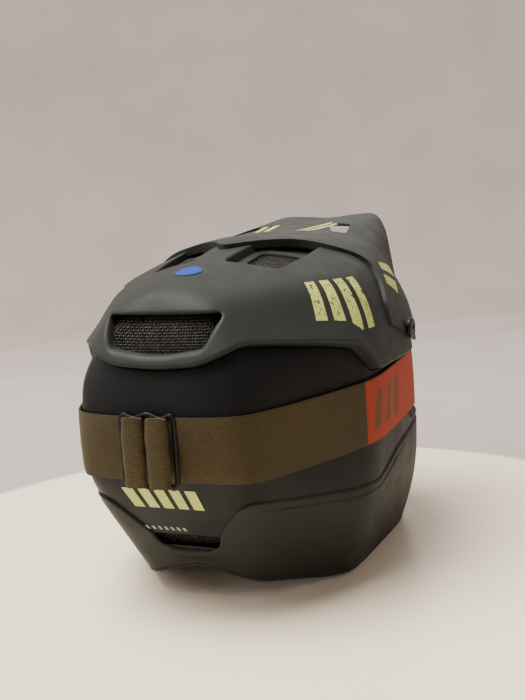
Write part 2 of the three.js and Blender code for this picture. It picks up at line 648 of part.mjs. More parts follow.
function outrigger() {
  const plate = softened([[-9, -25], [9, -25], [9, 25], [-9, 25]], 5);
  const geometry = prism(plate, 'y', -1.6, 1.6);
  const from = elasticPoint(-ELASTIC.leaves - 11, 0, 0);
  const to = gogglePoint(GOGGLE.halfWidth, 0, 6);
  const run = to.clone().sub(from);
  const length = run.length();
  geometry.scale((length - 6) / 18, 1, 1);
  const turn = Math.atan2(run.y, run.x);
  return geometry.rotateZ(turn).translate((from.x + to.x) / 2, (from.y + to.y) / 2, from.z);
}

// Three-bar slider at the back of the strap, its frame and bars in one moulding.
const SLIDER = { middle: 4, halfWidth: 23, halfHeight: 28, bar: 3.6, thick: 2.6 };
function sliderFace() {
  const lift = ELASTIC.clearance + ELASTIC.thick + 2;
  return onShell(toward(0, elevationAt(0, STRAP_LEVEL)), lift).y;
}
const rectangle = (u0, v0, u1, v1) => [[u0, v0], [u1, v0], [u1, v1], [u0, v1]];
function sliderBuckle() {
  const { halfWidth, halfHeight, bar, middle, thick } = SLIDER;
  const face = sliderFace();
  const [foot, top] = [STRAP_LEVEL - halfHeight, STRAP_LEVEL + halfHeight];
  const frame = softened(rectangle(middle - halfWidth, foot, middle + halfWidth, top), 3);
  let body = cutterY(frame, face, face + thick);
  for (const side of [-1, 1]) {
    const edges = [middle + side * bar / 2, middle + side * (halfWidth - bar)].sort((a, b) => a - b);
    const window = rectangle(edges[0], foot + bar, edges[1], top - bar);
    body = body.subtract(cutterY(window, face - 1, face + thick + 1));
  }
  return geometryOf(body);
}
// The strap's two fat folds that roll over the slider's bars.
function strapFold(middleX) {
  const half = { x: 8.6, y: 3.2 };
  const backY = sliderFace() + SLIDER.thick + 0.5;
  const outline = Array.from({ length: 20 }, (_, i) => {
    const turn = 2 * Math.PI * i / 20;
    const soft = (value) => Math.sign(value) * Math.abs(value) ** 0.6;
    return [middleX + half.x * soft(Math.cos(turn)), backY + half.y * (1 + soft(Math.sin(turn)))];
  });
  return prism(outline, 'z', STRAP_LEVEL - ELASTIC.halfWidth, STRAP_LEVEL + ELASTIC.halfWidth);
}

// ---------------------------------------------------------------- assembly
const COLORS = {
  shell: [0x585a52, 0.62, 0.05],
  trim: [0x161616, 0.9, 0],
  foam: [0x3a3a3a, 0.95, 0],
  pad: [0x24262a, 0.98, 0],
  wire: [0x2a2a2c, 0.5, 0.6],
  metal: [0x8a8c90, 0.35, 0.9],
  badge: [0x234ba0, 0.5, 0],
  web: [0x1c1c1e, 0.95, 0],
  strap: [0x6e5c36, 0.95, 0],
  plastic: [0x1e2020, 0.55, 0],
  lens: [0x4a4f52, 0.12, 0],
};
const helmet = new THREE.Group();
function add(name, geometry, look) {
  const [color, roughness, metalness] = COLORS[look];
  const mesh = new THREE.Mesh(geometry, new THREE.MeshStandardMaterial({ color, roughness, metalness }));
  mesh.name = name;
  helmet.add(mesh);
}
function addPair(name, geometry, look, builtSide) {
  const other = builtSide === 'left' ? 'right' : 'left';
  add(`${name}_${builtSide}`, geometry, look);
  add(`${name}_${other}`, mirrorX(geometry.index ? geometry : mergeVertices(geometry)), look);
}

add('outer_shell', outerShell(), 'shell');
add('visor', visor(), 'shell');
addPair('visor_screw', visorScrew(), 'plastic', 'left');
add('foam_liner', mainLiner(), 'foam');
add('chin_bar_foam', chinBarFoam(), 'foam');
add('rear_vent_mesh', meshPlate(REAR_VENT, 'y', 90, 220), 'wire');
addPair('crown_vent_mesh_rear', meshPlate(CROWN_VENT_REAR, 'z', 180, SKY), 'wire', 'right');
addPair('crown_vent_mesh_front', meshPlate(CROWN_VENT_FRONT, 'z', 180, SKY), 'wire', 'right');
add('mouth_grille', mouthGrille(), 'plastic');
add('eye_port_trim', eyePortTrim(), 'trim');
add('bottom_trim', bottomTrim(), 'trim');
add('badge', badge(), 'badge');
add('crown_pad', crownPad(), 'pad');
add('cheek_pad_left', cheekPad(1), 'pad');
add('cheek_pad_right', cheekPad(-1), 'pad');
add('neck_roll', neckRoll(), 'pad');
add('chin_strap_short', shortWeb(), 'web');
add('chin_strap_long', longWeb(), 'web');
add('chin_strap_tail', webTail(), 'web');
add('d_ring_upper', dRing(RING.drop - 4), 'metal');
add('d_ring_lower', dRing(RING.drop + 1), 'metal');
addPair('strap_rivet', strapRivet(), 'metal', 'left');
add('goggle_frame', goggleFrame(), 'plastic');
add('goggle_lens', goggleLens(), 'lens');
add('goggle_foam', goggleFoam(), 'pad');
addPair('goggle_outrigger', outrigger(), 'plastic', 'left');
add('goggle_strap', elasticStrap(), 'strap');
add('strap_slider', sliderBuckle(), 'plastic');
add('strap_fold_left', strapFold(13), 'strap');
add('strap_fold_right', strapFold(-6), 'strap');

const extent = new THREE.Box3().setFromObject(helmet);
helmet.position.set(0, -(extent.min.y + extent.max.y) / 2, -extent.min.z);

export default helmet;
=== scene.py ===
"""Looks of a full-face gravity helmet with goggles worn round it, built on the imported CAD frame.

Shapes are worked out in millimetres round the head, +Z up, with the helmet looking along -Y and the
wearer's right at -X. mesh_from() moves them into the CAD frame and into metres.
"""

import math

import bmesh
import bpy
import numpy as np
from mathutils import Matrix, Vector


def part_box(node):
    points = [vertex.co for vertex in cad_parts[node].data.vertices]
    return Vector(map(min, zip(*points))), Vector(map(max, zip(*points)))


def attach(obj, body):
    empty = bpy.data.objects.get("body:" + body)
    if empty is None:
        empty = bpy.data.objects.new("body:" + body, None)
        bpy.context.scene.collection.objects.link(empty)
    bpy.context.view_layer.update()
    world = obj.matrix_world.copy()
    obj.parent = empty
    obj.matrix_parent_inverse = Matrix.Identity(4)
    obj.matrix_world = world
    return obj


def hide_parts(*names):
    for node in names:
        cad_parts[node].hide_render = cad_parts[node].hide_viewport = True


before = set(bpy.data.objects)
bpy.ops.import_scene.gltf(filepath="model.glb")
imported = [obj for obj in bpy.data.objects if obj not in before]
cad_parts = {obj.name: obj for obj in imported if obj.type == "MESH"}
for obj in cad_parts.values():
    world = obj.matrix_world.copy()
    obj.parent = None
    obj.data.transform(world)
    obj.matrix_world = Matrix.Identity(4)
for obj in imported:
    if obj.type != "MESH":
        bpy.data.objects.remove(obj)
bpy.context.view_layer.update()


def middle_of(node):
    """The middle of a CAD node's box, millimetres."""
    low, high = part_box(node)
    return np.array((low + high) / 2) * 1000


# ---------------------------------------------------------------- driving dimensions, millimetres
CORE = np.array((0.0, -19.0, 124.0))   # the point that the shell's radius is measured from
HALF_WIDTH, REACH_REAR, REACH_FRONT, REACH_UP, REACH_DOWN = 120, 160, 192, 140, 198
ROUNDNESS = 2.9                        # exponent of the superellipsoid
CREASE = 40                            # how sharply the facets meet
FACETS = [                             # outward direction, mirrored in x, and reach from CORE
    ((0, 0, 1), 138),                  # crown
    ((0, 0.18, 0.98), 135),            # rear plateau
    ((0.30, 0.20, 0.93), 133),         # plateau bevel
    ((0.72, 0.42, 0.55), 137.8),       # shoulder
    ((0, 0.92, 0.38), 162.6),          # rear vent face
    ((0.9135, 0.407, 0), 122.3),       # waist, rear quarter
    ((0, 0.94, -0.34), 147.2),         # back of the neck
    ((0, 0.84, -0.54), 140.7),         # neck roll-in
    ((0.68, 0.55, -0.48), 136.5),      # lower rear quarter
    ((0, -0.80, 0.60), 149.4),         # brow
    ((0, -0.85, -0.52), 187.7),        # underside of the chin bar
    ((0.93, 0, -0.36), 129.5),         # jaw side
    ((0.75, -0.66, 0), 166.1),         # corner of the chin bar
]
WALL = 4
PANEL_STEP = 2
CROWN_STEP = 7
LIP_FLARE = 5
LIP_ROUND = 2.4                        # radius of the crown layer's lip
CROWN_ARC = 170                        # about the length of the crown from its lip to the top
STRAP_LEVEL = 129
ANCHOR_LEVEL = 64                      # height of the chin strap's rivets
SHIFT = middle_of("strap_rivet_left") * (0, 1, 1) - (0, 0, ANCHOR_LEVEL)

# Outlines of the openings: the eye port in (y, z), the vents at the rear and the mouth in (x, z),
# and the right half's openings in the crown in (x, y).
EYE_PORT = [(-78, 150), (-92, 106), (-300, 102), (-300, 207), (-102, 203)]
REAR_VENT = [(-46, 222), (-37, 199), (-8, 195), (8, 195), (37, 199), (46, 222)]
LOWER_VENT = [(-29, 57), (-23, 46), (23, 46), (29, 57)]
MOUTH_VENT = [(-40, 78), (-26, 46), (26, 46), (40, 78)]
CROWN_RECESS = [(-14, 41), (-18, -48), (-62, -84), (-60, -10), (-54, 31)]
CROWN_VENT_REAR = [(-23, 20), (-24, -14), (-53, -24), (-49, 13)]
CROWN_VENT_FRONT = [(-26, -24), (-28, -50), (-57, -62), (-57, -33)]
RIGHT_AND_LEFT = ((1, "right"), (-1, "left"))
LEFT_AND_RIGHT = ((1, "left"), (-1, "right"))


# ---------------------------------------------------------------- the shell's surface
def lengths(vectors):
    return np.linalg.norm(vectors, axis=-1)


def unit(vectors):
    vectors = np.asarray(vectors, float)
    return vectors / np.maximum(lengths(vectors)[..., None], 1e-12)


def toward(azimuth, elevation):
    """Azimuth 0 is the rear and 90 degrees the wearer's right."""
    azimuth, elevation = np.broadcast_arrays(azimuth, elevation)
    return np.stack([
        -np.sin(azimuth) * np.cos(elevation),
        np.cos(azimuth) * np.cos(elevation),
        np.sin(elevation),
    ], -1)


def shell_radius(d):
    reach = np.stack([
        np.full(d.shape[:-1], HALF_WIDTH),
        np.where(d[..., 1] > 0, REACH_REAR, REACH_FRONT),
        np.where(d[..., 2] > 0, REACH_UP, REACH_DOWN),
    ], -1)
    gauge = (np.abs(d / reach) ** ROUNDNESS).sum(-1) ** (CREASE / ROUNDNESS)
    for normal, facet_reach in FACETS:
        n = unit(normal)
        share = (np.abs(d[..., 0]) * n[0] + d[..., 1] * n[1] + d[..., 2] * n[2]) / facet_reach
        gauge = gauge + np.maximum(0, share) ** CREASE
    return gauge ** (-1 / CREASE)


def on_shell(d, offset):
    return d * (shell_radius(d) + offset)[..., None] + CORE


def to_core(points):
    return unit(np.asarray(points, float) - CORE)


def halved(shape, low, high, too_low):
    """Values between two bounds at which a condition stops holding, found by halving."""
    low, high = np.full(shape, float(low)), np.full(shape, float(high))
    for _ in range(34):
        middle = (low + high) / 2
        below = too_low(middle)
        low, high = np.where(below, middle, low), np.where(below, high, middle)
    return low, high


def elevation_at(azimuth, height, offset=0.0):
    """Elevation at which the shell, seen along an azimuth, reaches a height."""
    def too_low(elevation):
        return on_shell(toward(azimuth, elevation), offset)[..., 2] < height
    low, high = halved(np.shape(azimuth), -1.3, 1.5, too_low)
    return (low + high) / 2


def on_skin(start, direction, offset):
    """Where rays that start inside the shell leave it, at that offset from its surface."""
    start, direction = np.broadcast_arrays(np.asarray(start, float), np.asarray(direction, float))

    def still_inside(reach):
        ray = start + direction * reach[..., None] - CORE
        return lengths(ray) <= shell_radius(unit(ray)) + offset
    low, _ = halved(start.shape[:-1], 0, 330, still_inside)
    return start + direction * low[..., None]


def degrees_off_rear(azimuth):
    """How far an azimuth is from the rear, from 0 to 180 degrees on either side."""
    return np.degrees(np.abs((np.asarray(azimuth) + math.pi) % (2 * math.pi) - math.pi))


def height_line(points):
    """A height that varies round the helmet, from (degrees, height) pairs, with eased corners."""
    degrees, heights = zip(*points)

    def line(azimuth):
        turned = degrees_off_rear(azimuth)
        eased = [np.interp(np.abs(turned + shift), degrees, heights) for shift in (-2, -0.7, 0.7, 2)]
        return np.mean(eased, 0)
    return line


bottom_line = height_line([(0, 31), (25, 18), (60, 7), (100, 3.4), (146, 3.4), (180, 9)])
panel_line = height_line([
    (0, 42), (9, 43), (14, 62), (20.5, 85), (23, 89), (44, 84), (64, 79.5), (81, 79.5), (103, 95),
    (125, 101), (180, 102),
])
lip_line = height_line([(0, 184), (12, 186), (24, 198), (55, 189), (66, 184.5), (76, 164), (180, 164)])


def strap_line(azimuth):
    return STRAP_LEVEL + 7.6 * (1 - np.cos(azimuth))


def lip_flare(azimuth):
    rearward = np.clip(4 * np.cos(azimuth), 0, 1)
    return LIP_FLARE * np.sin(azimuth) ** 2 * (0.2 + 0.8 * rearward)


HEAD = {"middle_y": 2, "half_width": 84, "half_depth": 108, "up": 118, "down": 200}
PAD = 8                                # thickness of the comfort padding
FOAM_LEAST, FOAM_CHIN = 15, 30         # the foam's depth at its thinnest, and in the chin bar


def cavity_radius(d, grow):
    a, b = HEAD["half_width"] + grow, HEAD["half_depth"] + grow
    c = np.where(d[..., 2] > 0, HEAD["up"], HEAD["down"]) + grow
    shift = CORE[1] - HEAD["middle_y"]
    p = (d[..., 0] / a) ** 2 + (d[..., 1] / b) ** 2 + (d[..., 2] / c) ** 2
    q = shift * d[..., 1] / b ** 2
    return (-q + np.sqrt(q * q - p * ((shift / b) ** 2 - 1))) / p


def liner_radius(d):
    shell = shell_radius(d)
    head = np.minimum(cavity_radius(d, PAD), shell - FOAM_LEAST)
    return np.where(d[..., 2] < 0, np.maximum(head, shell - FOAM_CHIN), head)


# ---------------------------------------------------------------- outlines
def rounded(outline, radius, steps=5):
    """A closed polygon with every corner turned into an arc-like curve."""
    points = np.array(outline, float)
    curve = []
    for i, corner in enumerate(points):
        back = corner + unit(points[i - 1] - corner) * radius
        on = corner + unit(points[(i + 1) % len(points)] - corner) * radius
        for t in np.linspace(0, 1, steps):
            curve.append((1 - t) ** 2 * back + 2 * t * (1 - t) * corner + t ** 2 * on)
    return np.array(curve)


def resampled(path, count, closed=True):
    """Equally spaced points along a path."""
    path = np.asarray(path, float)
    whole = np.vstack([path, path[:1]]) if closed else path
    along = np.concatenate([[0], np.cumsum(lengths(np.diff(whole, axis=0)))])
    at = np.linspace(0, along[-1], count, endpoint=not closed)
    return np.stack([np.interp(at, along, whole[:, k]) for k in range(whole.shape[1])], -1)


def grown(outline, amount):
    """A dense closed outline moved outward along its own normals."""
    run = unit(np.roll(outline, -1, 0) - np.roll(outline, 1, 0))
    ahead = np.roll(outline, -1, 0)
    area = (outline[:, 0] * ahead[:, 1] - outline[:, 1] * ahead[:, 0]).sum()
    return outline + math.copysign(amount, area * amount) * np.stack([run[:, 1], -run[:, 0]], -1)


def mirrored(outline):
    return [(-u, v) for u, v in outline][::-1]


def catmull(points, at):
    """Centripetal Catmull-Rom curve through points, at parameters from 0 to 1."""
    points = np.array(points, float)
    whole = np.vstack([2 * points[0] - points[1], points, 2 * points[-1] - points[-2]])
    scaled = np.clip(np.asarray(at, float), 0, 1) * (len(points) - 1)
    i = np.minimum(scaled.astype(int), len(points) - 2)
    w = (scaled - i)[..., None]
    p0, p1, p2, p3 = (whole[i + k] for k in range(4))
    d0, d1, d2 = (np.sqrt(lengths(b - a))[..., None] for a, b in ((p0, p1), (p1, p2), (p2, p3)))
    t1 = ((p1 - p0) / d0 - (p2 - p0) / (d0 + d1) + (p2 - p1) / d1) * d1
    t2 = ((p2 - p1) / d1 - (p3 - p1) / (d1 + d2) + (p3 - p2) / d2) * d1
    c2 = -3 * p1 + 3 * p2 - 2 * t1 - t2
    c3 = 2 * p1 - 2 * p2 + t1 + t2
    return p1 + t1 * w + c2 * w ** 2 + c3 * w ** 3


# ---------------------------------------------------------------- mesh builders
def grid_faces(rows, columns, around=False, ring=False):
    """Quads of a grid of points. `around` closes each row, `ring` joins the last row to the first."""
    r = np.arange(rows if ring else rows - 1)[:, None]
    c = np.arange(columns if around else columns - 1)[None, :]
    up, on = (r + 1) % rows, (c + 1) % columns
    quads = np.stack(np.broadcast_arrays(
        r * columns + c, r * columns + on, up * columns + on, up * columns + c), -1)
    return quads.reshape(-1, 4)


def mesh_from(name, points, faces):
    mesh = bpy.data.meshes.new(name)
    mesh.from_pydata(((points.reshape(-1, 3) + SHIFT) / 1000).tolist(), [], [list(f) for f in faces])
    return mesh


def placed(name, data):
    """Puts a mesh, a light or a camera into the scene as an object."""
    obj = bpy.data.objects.new(name, data)
    bpy.context.scene.collection.objects.link(obj)
    return obj


def solid_from(name, points, faces, weld=False):
    """An object with every face turned outward; `weld` joins points that lie on each other."""
    mesh = mesh_from(name, points, faces)
    bm = bmesh.new()
    bm.from_mesh(mesh)
    if weld:
        bmesh.ops.remove_doubles(bm, verts=bm.verts, dist=2e-6)
    bmesh.ops.recalc_face_normals(bm, faces=bm.faces)
    bm.to_mesh(mesh)
    bm.free()
    return placed(name, mesh)


def body_from(name, rows, ring=False):
    """A closed solid skinned over closed loops. Loops that shrink to a point close its ends."""
    rows = np.array(rows)
    faces = grid_faces(len(rows), rows.shape[1], around=True, ring=ring).tolist()
    return solid_from(name, rows, faces, weld=True)


def baked(obj):
    """Replaces an object's mesh with what its modifiers make of it."""
    graph = bpy.context.evaluated_depsgraph_get()
    mesh = bpy.data.meshes.new_from_object(obj.evaluated_get(graph))
    obj.modifiers.clear()
    obj.data = mesh
    return obj


def carve(obj, *tools, operation="DIFFERENCE"):
    """Cuts a solid with each tool in turn and removes the tools."""
    for tool in tools:
        cut = obj.modifiers.new("cut", "BOOLEAN")
        cut.object = tool
        cut.operation = operation
        cut.solver = "MANIFOLD"
        baked(obj)
        bpy.data.objects.remove(tool)
    return obj


def coordinates(obj):
    flat = np.empty(len(obj.data.vertices) * 3)
    obj.data.vertices.foreach_get("co", flat)
    return flat.reshape(-1, 3)


def move_points(obj, points):
    obj.data.vertices.foreach_set("co", points.ravel())
    obj.data.update()


def dressed(obj, look, body="helmet", stands_for=(), crisp=38):
    """Gives a finished mesh its material, its shading and the body that it moves with."""
    obj.data.materials.clear()
    obj.data.materials.append(look)
    obj.data.shade_smooth()
    obj.data.set_sharp_from_angle(angle=math.radians(crisp))
    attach(obj, body)
    if stands_for:
        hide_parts(*stands_for)
    return obj


def swept(path, section, closed=True, outward=None):
    """Sweeps a section, in (sideways, outward) pairs, along a path. Returns (points, faces)."""
    path = np.asarray(path, float)
    if closed:
        run = unit(np.roll(path, -1, 0) - np.roll(path, 1, 0))
    else:
        run = unit(np.gradient(path, axis=0))
    out = to_core(path) if outward is None else np.broadcast_to(unit(outward), path.shape)
    side = unit(np.cross(run, out))
    out = np.cross(side, run)
    section = np.asarray(section, float)
    if section.ndim == 2:
        section = np.broadcast_to(section, (len(path), *section.shape))
    points = path[:, None] + side[:, None] * section[..., :1] + out[:, None] * section[..., 1:]
    faces = grid_faces(len(path), section.shape[1], around=True, ring=closed).tolist()
    if closed:
        return points, faces
    first, last = points[:1].mean(1), points[-1:].mean(1)
    count, size = points.shape[0] * points.shape[1], section.shape[1]
    caps = [(i, (i + 1) % size, count, count) for i in range(size)]
    caps += [(count - size + (i + 1) % size, count - size + i, count + 1, count + 1) for i in range(size)]
    triangles = [list(dict.fromkeys(cap)) for cap in caps]
    return np.vstack([points.reshape(-1, 3), first, last]), faces + triangles


def merged(name, parts):
    """One object from several (points, faces)."""
    points, faces, start = [], [], 0
    for part_points, part_faces in parts:
        flat = np.asarray(part_points, float).reshape(-1, 3)
        points.append(flat)
        faces.extend([[k + start for k in face] for face in part_faces])
        start += len(flat)
    return solid_from(name, np.vstack(points), faces)


def full_turn(steps):
    return np.linspace(0, 2 * math.pi, steps, endpoint=False)


def squared(wave, power):
    """A sine or cosine made squarer by a power below 1, with its sign kept."""
    return np.sign(wave) * np.abs(wave) ** power


def round_section(radius, sides):
    turn = full_turn(sides)
    return np.stack([radius * np.cos(turn), radius * np.sin(turn)], -1)


def soft_rectangle(half_side, half_out, power, count):
    """A rectangle with rounded corners as a section."""
    turn = full_turn(count)
    return np.stack([
        half_side * squared(np.cos(turn), power),
        half_out * squared(np.sin(turn), power),
    ], -1)


def lathe(name, centre, axis, profile, steps=48):
    """A turned solid: profile of (radius, height along the axis), open ends at radius 0."""
    axis = unit(axis)
    across = unit(np.cross(axis, (0.31, 0.95, 0.07)))
    other = np.cross(axis, across)
    turn = full_turn(steps)[:, None]
    rim = np.cos(turn) * across + np.sin(turn) * other
    rows = [np.asarray(centre, float) + axis * height + rim * radius for radius, height in profile]
    return body_from(name, rows)


def block(outline, axis, low, high):
    """A straight bar of constant outline along an axis, as a cutting tool."""
    flat = np.array(outline, float)
    order = {"x": (2, 0, 1), "y": (0, 2, 1), "z": (0, 1, 2)}[axis]
    rings = []
    for level, size in ((low, 0), (low, 1), (high, 1), (high, 0)):
        spot = flat.mean(0) + (flat - flat.mean(0)) * size
        column = np.column_stack([spot, np.full(len(spot), float(level))])
        rings.append(column[:, order])
    return body_from("tool", rings)


REAR, FRONT, TOP = (0, 1, 0), (0, -1, 0), (0, 0, 1)


def cast(flat, direction, offset):
    """Casts an outline in (x, z), or in (x, y) for the top, from the shell's core onto its surface."""
    fixed = 2 if direction == TOP else 1
    start = np.insert(flat, fixed, CORE[fixed], axis=1)
    return on_skin(start, direction, offset)


def recess_tool(outline, direction, level, depth, edge, corner, draft, count=96):
    """A cutter for a recess or vent whose rim rolls over by `edge` into walls that lean by `draft`."""
    rim = resampled(rounded(outline, corner), count)
    middle = rim.mean(0)

    def loop(grow, offset, size=1.0):
        return cast(middle + (grown(rim, grow) - middle) * size, direction, offset)

    rings = [loop(edge + 2, level + 14, size) for size in (0, 0.5, 1)]
    rings.append(loop(edge + 0.6, level + 1.5))
    for turn in np.radians(np.linspace(0, 90, 6)):
        rings.append(loop(edge * (1 - math.sin(turn)), level - edge * (1 - math.cos(turn))))
    rings += [loop(-draft, level - depth, size) for size in (1, 0.8, 0.5, 0.25, 0)]
    return body_from("tool", rings)


# ---------------------------------------------------------------- materials
class Shader:
    """A small helper that builds one node material."""

    def __init__(self, name):
        self.material = bpy.data.materials.new(name)
        self.material.use_nodes = True
        self.tree = self.material.node_tree
        self.surface = self.tree.nodes["Principled BSDF"]
        self.where = self.node("ShaderNodeTexCoord").outputs["Object"]

    def node(self, kind, inputs=(), **settings):
        made = self.tree.nodes.new(kind)
        for key, value in settings.items():
            setattr(made, key, value)
        for key, value in dict(inputs).items():
            self.fill(made.inputs[key], value)
        return made

    def noise(self, scale, detail, stretch=None, seed=0.0, rough=0.55):
        """Noise of `scale` features per metre, from 0 to 1."""
        place = self.where
        if stretch or seed:
            moved = self.node("ShaderNodeMapping", {
                "Vector": place, "Scale": stretch or (1, 1, 1), "Location": (seed, seed, seed)})
            place = moved.outputs["Vector"]
        made = self.node("ShaderNodeTexNoise", {
            "Vector": place, "Scale": scale, "Detail": detail, "Roughness": rough})
        return made.outputs["Fac"]

    def cells(self, scale, feature="F1"):
        made = self.node(
            "ShaderNodeTexVoronoi", {"Vector": self.where, "Scale": scale}, feature=feature)
        return made.outputs["Distance"]

    def math(self, operation, a, b=0.0):
        made = self.node("ShaderNodeMath", {0: a, 1: b}, operation=operation)
        return made.outputs[0]

    def times(self, a, b):
        return self.math("MULTIPLY", a, b)

    def plus(self, a, b):
        return self.math("ADD", a, b)

    def ramp(self, value, low, high, to_low=0.0, to_high=1.0):
        made = self.node("ShaderNodeMapRange", {
            "Value": value, "From Min": low, "From Max": high, "To Min": to_low, "To Max": to_high})
        return made.outputs["Result"]

    def blend(self, share, a, b, how="MIX"):
        """Mixes two colours."""
        made = self.node("ShaderNodeMix", {0: share, 6: a, 7: b}, data_type="RGBA", blend_type=how)
        return made.outputs[2]

    def mottled(self, scale, detail, a, b, low=0.3, high=0.7):
        """Two colours mixed by slow noise."""
        return self.blend(self.ramp(self.noise(scale, detail), low, high), a, b)

    def fill(self, socket, value):
        """Links a value to a socket, or writes it there if it is a plain one."""
        if isinstance(value, bpy.types.NodeSocket):
            self.tree.links.new(value, socket)
        else:
            socket.default_value = value

    def set(self, **values):
        """Sets the shader's own sockets; underscores stand for the spaces in their names."""
        for key, value in values.items():
            self.fill(self.surface.inputs[key.replace("_", " ")], value)

    def roughness(self, scale, detail, low, high):
        """Roughness that wanders between two values."""
        self.set(Roughness=self.ramp(self.noise(scale, detail), 0.3, 0.7, low, high))

    def bump(self, height, depth, strength):
        """Adds relief of `depth` metres on top of any relief that is already there."""
        made = self.node("ShaderNodeBump", {
            "Height": height, "Distance": depth, "Strength": strength})
        before = self.surface.inputs["Normal"].links
        if before:
            self.tree.links.new(before[0].from_socket, made.inputs["Normal"])
        self.tree.links.new(made.outputs["Normal"], self.surface.inputs["Normal"])


def shade(r, g, b):
    """An sRGB colour of 0 to 255 as a linear shader colour."""
    return tuple((v / 255) ** 2.2 for v in (r, g, b)) + (1.0,)


def scaled(colour, factor, lift=0.0):
    """A lighter or darker version of a colour."""
    return tuple(min(1, factor * v + lift) for v in colour[:3]) + (1.0,)


def lacquer(name, light, dark, roughness):
    """Matte sprayed lacquer: slow colour drift, faint orange peel, a little dust."""
    s = Shader(name)
    dust = s.ramp(s.noise(2600, 2), 0.70, 0.80)
    colour = s.mottled(9, 4, dark, light, 0.35, 0.65)
    s.set(Base_Color=s.blend(s.times(dust, 0.35), colour, scaled(light, 1.5, 0.012)))
    s.roughness(60, 5, roughness - 0.05, roughness + 0.07)
    s.set(Specular_IOR_Level=0.2)
    s.bump(s.noise(1500, 2), 0.00004, 0.5)
    return s.material


def printed_mark(name, ink, ground, wear):
    """A worn print on lacquer: the ground shows through in flakes and scratches."""
    s = Shader(name)
    flakes = s.noise(260, 6, seed=3.0, rough=0.75)
    scratches = s.noise(150, 4, stretch=(5, 5, 0.7), seed=7.0)
    worn = s.math("MAXIMUM", s.ramp(flakes, wear + 0.06, wear + 0.10),
                  s.ramp(scratches, wear + 0.12, wear + 0.15))
    s.set(Base_Color=s.blend(worn, s.mottled(40, 3, ink, scaled(ink, 0.82)), ground))
    s.roughness(80, 3, 0.5, 0.62)
    s.bump(worn, -0.00003, 0.6)
    return s.material


def moulded(name, colour, roughness=0.55, grain=1800):
    """Fine-grained black moulding."""
    s = Shader(name)
    s.set(Base_Color=s.mottled(30, 4, colour, scaled(colour, 1.5, 0.002)))
    s.roughness(220, 4, roughness - 0.08, roughness + 0.1)
    s.set(Specular_IOR_Level=0.3)
    s.bump(s.cells(grain), 0.00006, 0.5)
    return s.material


def rubber():
    s = Shader("edge_rubber")
    s.set(Base_Color=s.blend(s.noise(45, 4), shade(16, 16, 16), shade(33, 33, 34)))
    s.roughness(130, 3, 0.66, 0.86)
    s.bump(s.noise(2200, 2), 0.00005, 0.5)
    return s.material


def bead_foam():
    """Expanded foam: pressed beads with dark lines between them."""
    s = Shader("bead_foam")
    bead = s.cells(330)
    edge = s.cells(330, "DISTANCE_TO_EDGE")
    body = s.mottled(70, 3, shade(26, 27, 28), shade(38, 39, 40))
    s.set(Base_Color=s.blend(s.ramp(edge, 0.0, 0.10), shade(24, 24, 25), body))
    s.roughness(90, 3, 0.78, 0.92)
    s.bump(s.math("SUBTRACT", s.ramp(edge, 0, 0.3), bead), 0.0006, 0.6)
    return s.material


def woven_wire():
    s = Shader("woven_wire")
    s.set(Base_Color=s.mottled(300, 4, shade(34, 33, 32), shade(68, 66, 63), 0.35), Metallic=0.55)
    s.roughness(500, 3, 0.32, 0.5)
    s.bump(s.noise(3000, 2), 0.00003, 0.4)
    return s.material


def steel():
    s = Shader("plated_steel")
    s.set(Base_Color=s.blend(s.noise(50, 4), shade(176, 176, 178), shade(205, 205, 206)))
    s.set(Roughness=s.ramp(s.noise(240, 4, stretch=(1, 1, 9)), 0.3, 0.7, 0.22, 0.38), Metallic=1.0)
    s.bump(s.noise(1200, 3, stretch=(1, 1, 12)), 0.00002, 0.35)
    return s.material


def tinted_lens():
    s = Shader("tinted_lens")
    s.set(Base_Color=s.mottled(7, 2, shade(40, 42, 44), shade(54, 56, 58)))
    s.set(Roughness=s.ramp(s.noise(160, 4), 0.4, 0.8, 0.05, 0.13))
    s.set(Coat_Weight=0.8, Coat_Roughness=0.04, Specular_IOR_Level=0.6)
    s.bump(s.noise(12, 2), 0.00006, 0.2)
    return s.material


def brushed_cloth(name, dark, light, weave=900):
    """Brushed padding cloth: a fine weave under short fluff."""
    s = Shader(name)

    def wave(direction):
        made = s.node("ShaderNodeTexWave", {
            "Vector": s.where, "Scale": weave, "Distortion": 1.2, "Detail": 2.0},
            bands_direction=direction)
        return made.outputs["Fac"]

    thread = s.times(wave("Z"), wave("DIAGONAL"))
    fluff = s.noise(1300, 5, rough=0.7)
    mix = s.plus(s.times(thread, 0.5), s.times(fluff, 0.6))
    s.set(Base_Color=s.blend(s.ramp(mix, 0.15, 0.85), dark, light))
    s.roughness(50, 3, 0.86, 0.98)
    s.set(Sheen_Weight=0.35, Sheen_Roughness=0.45, Sheen_Tint=(0.6, 0.62, 0.66, 1.0))
    s.bump(thread, 0.00025, 0.5)
    s.bump(fluff, 0.0003, 0.5)
    return s.material


def ribbon(s):
    """Coordinates along and across a band, in metres, from the piece's own map."""
    split = s.node("ShaderNodeSeparateXYZ", {"Vector": s.node("ShaderNodeUVMap").outputs["UV"]})
    return split.outputs["X"], split.outputs["Y"]


def threads(s, along, across, pitch_along, pitch_across):
    """Height of a plain weave, from 0 to 1, with every second row shifted."""
    def arch(place):
        wave = s.math("ABSOLUTE", s.math("SINE", s.times(place, math.pi)))
        return s.math("POWER", wave, 0.6)

    row = s.math("DIVIDE", across, pitch_across)
    odd_row = s.math("FLOOR", s.math("MODULO", s.plus(row, 1000.0), 2.0))
    column = s.plus(s.math("DIVIDE", along, pitch_along), s.times(odd_row, 0.5))
    return s.times(arch(column), arch(row))


STITCHED_EDGE = 0.0228                 # metres from the band's middle to its stitched edge


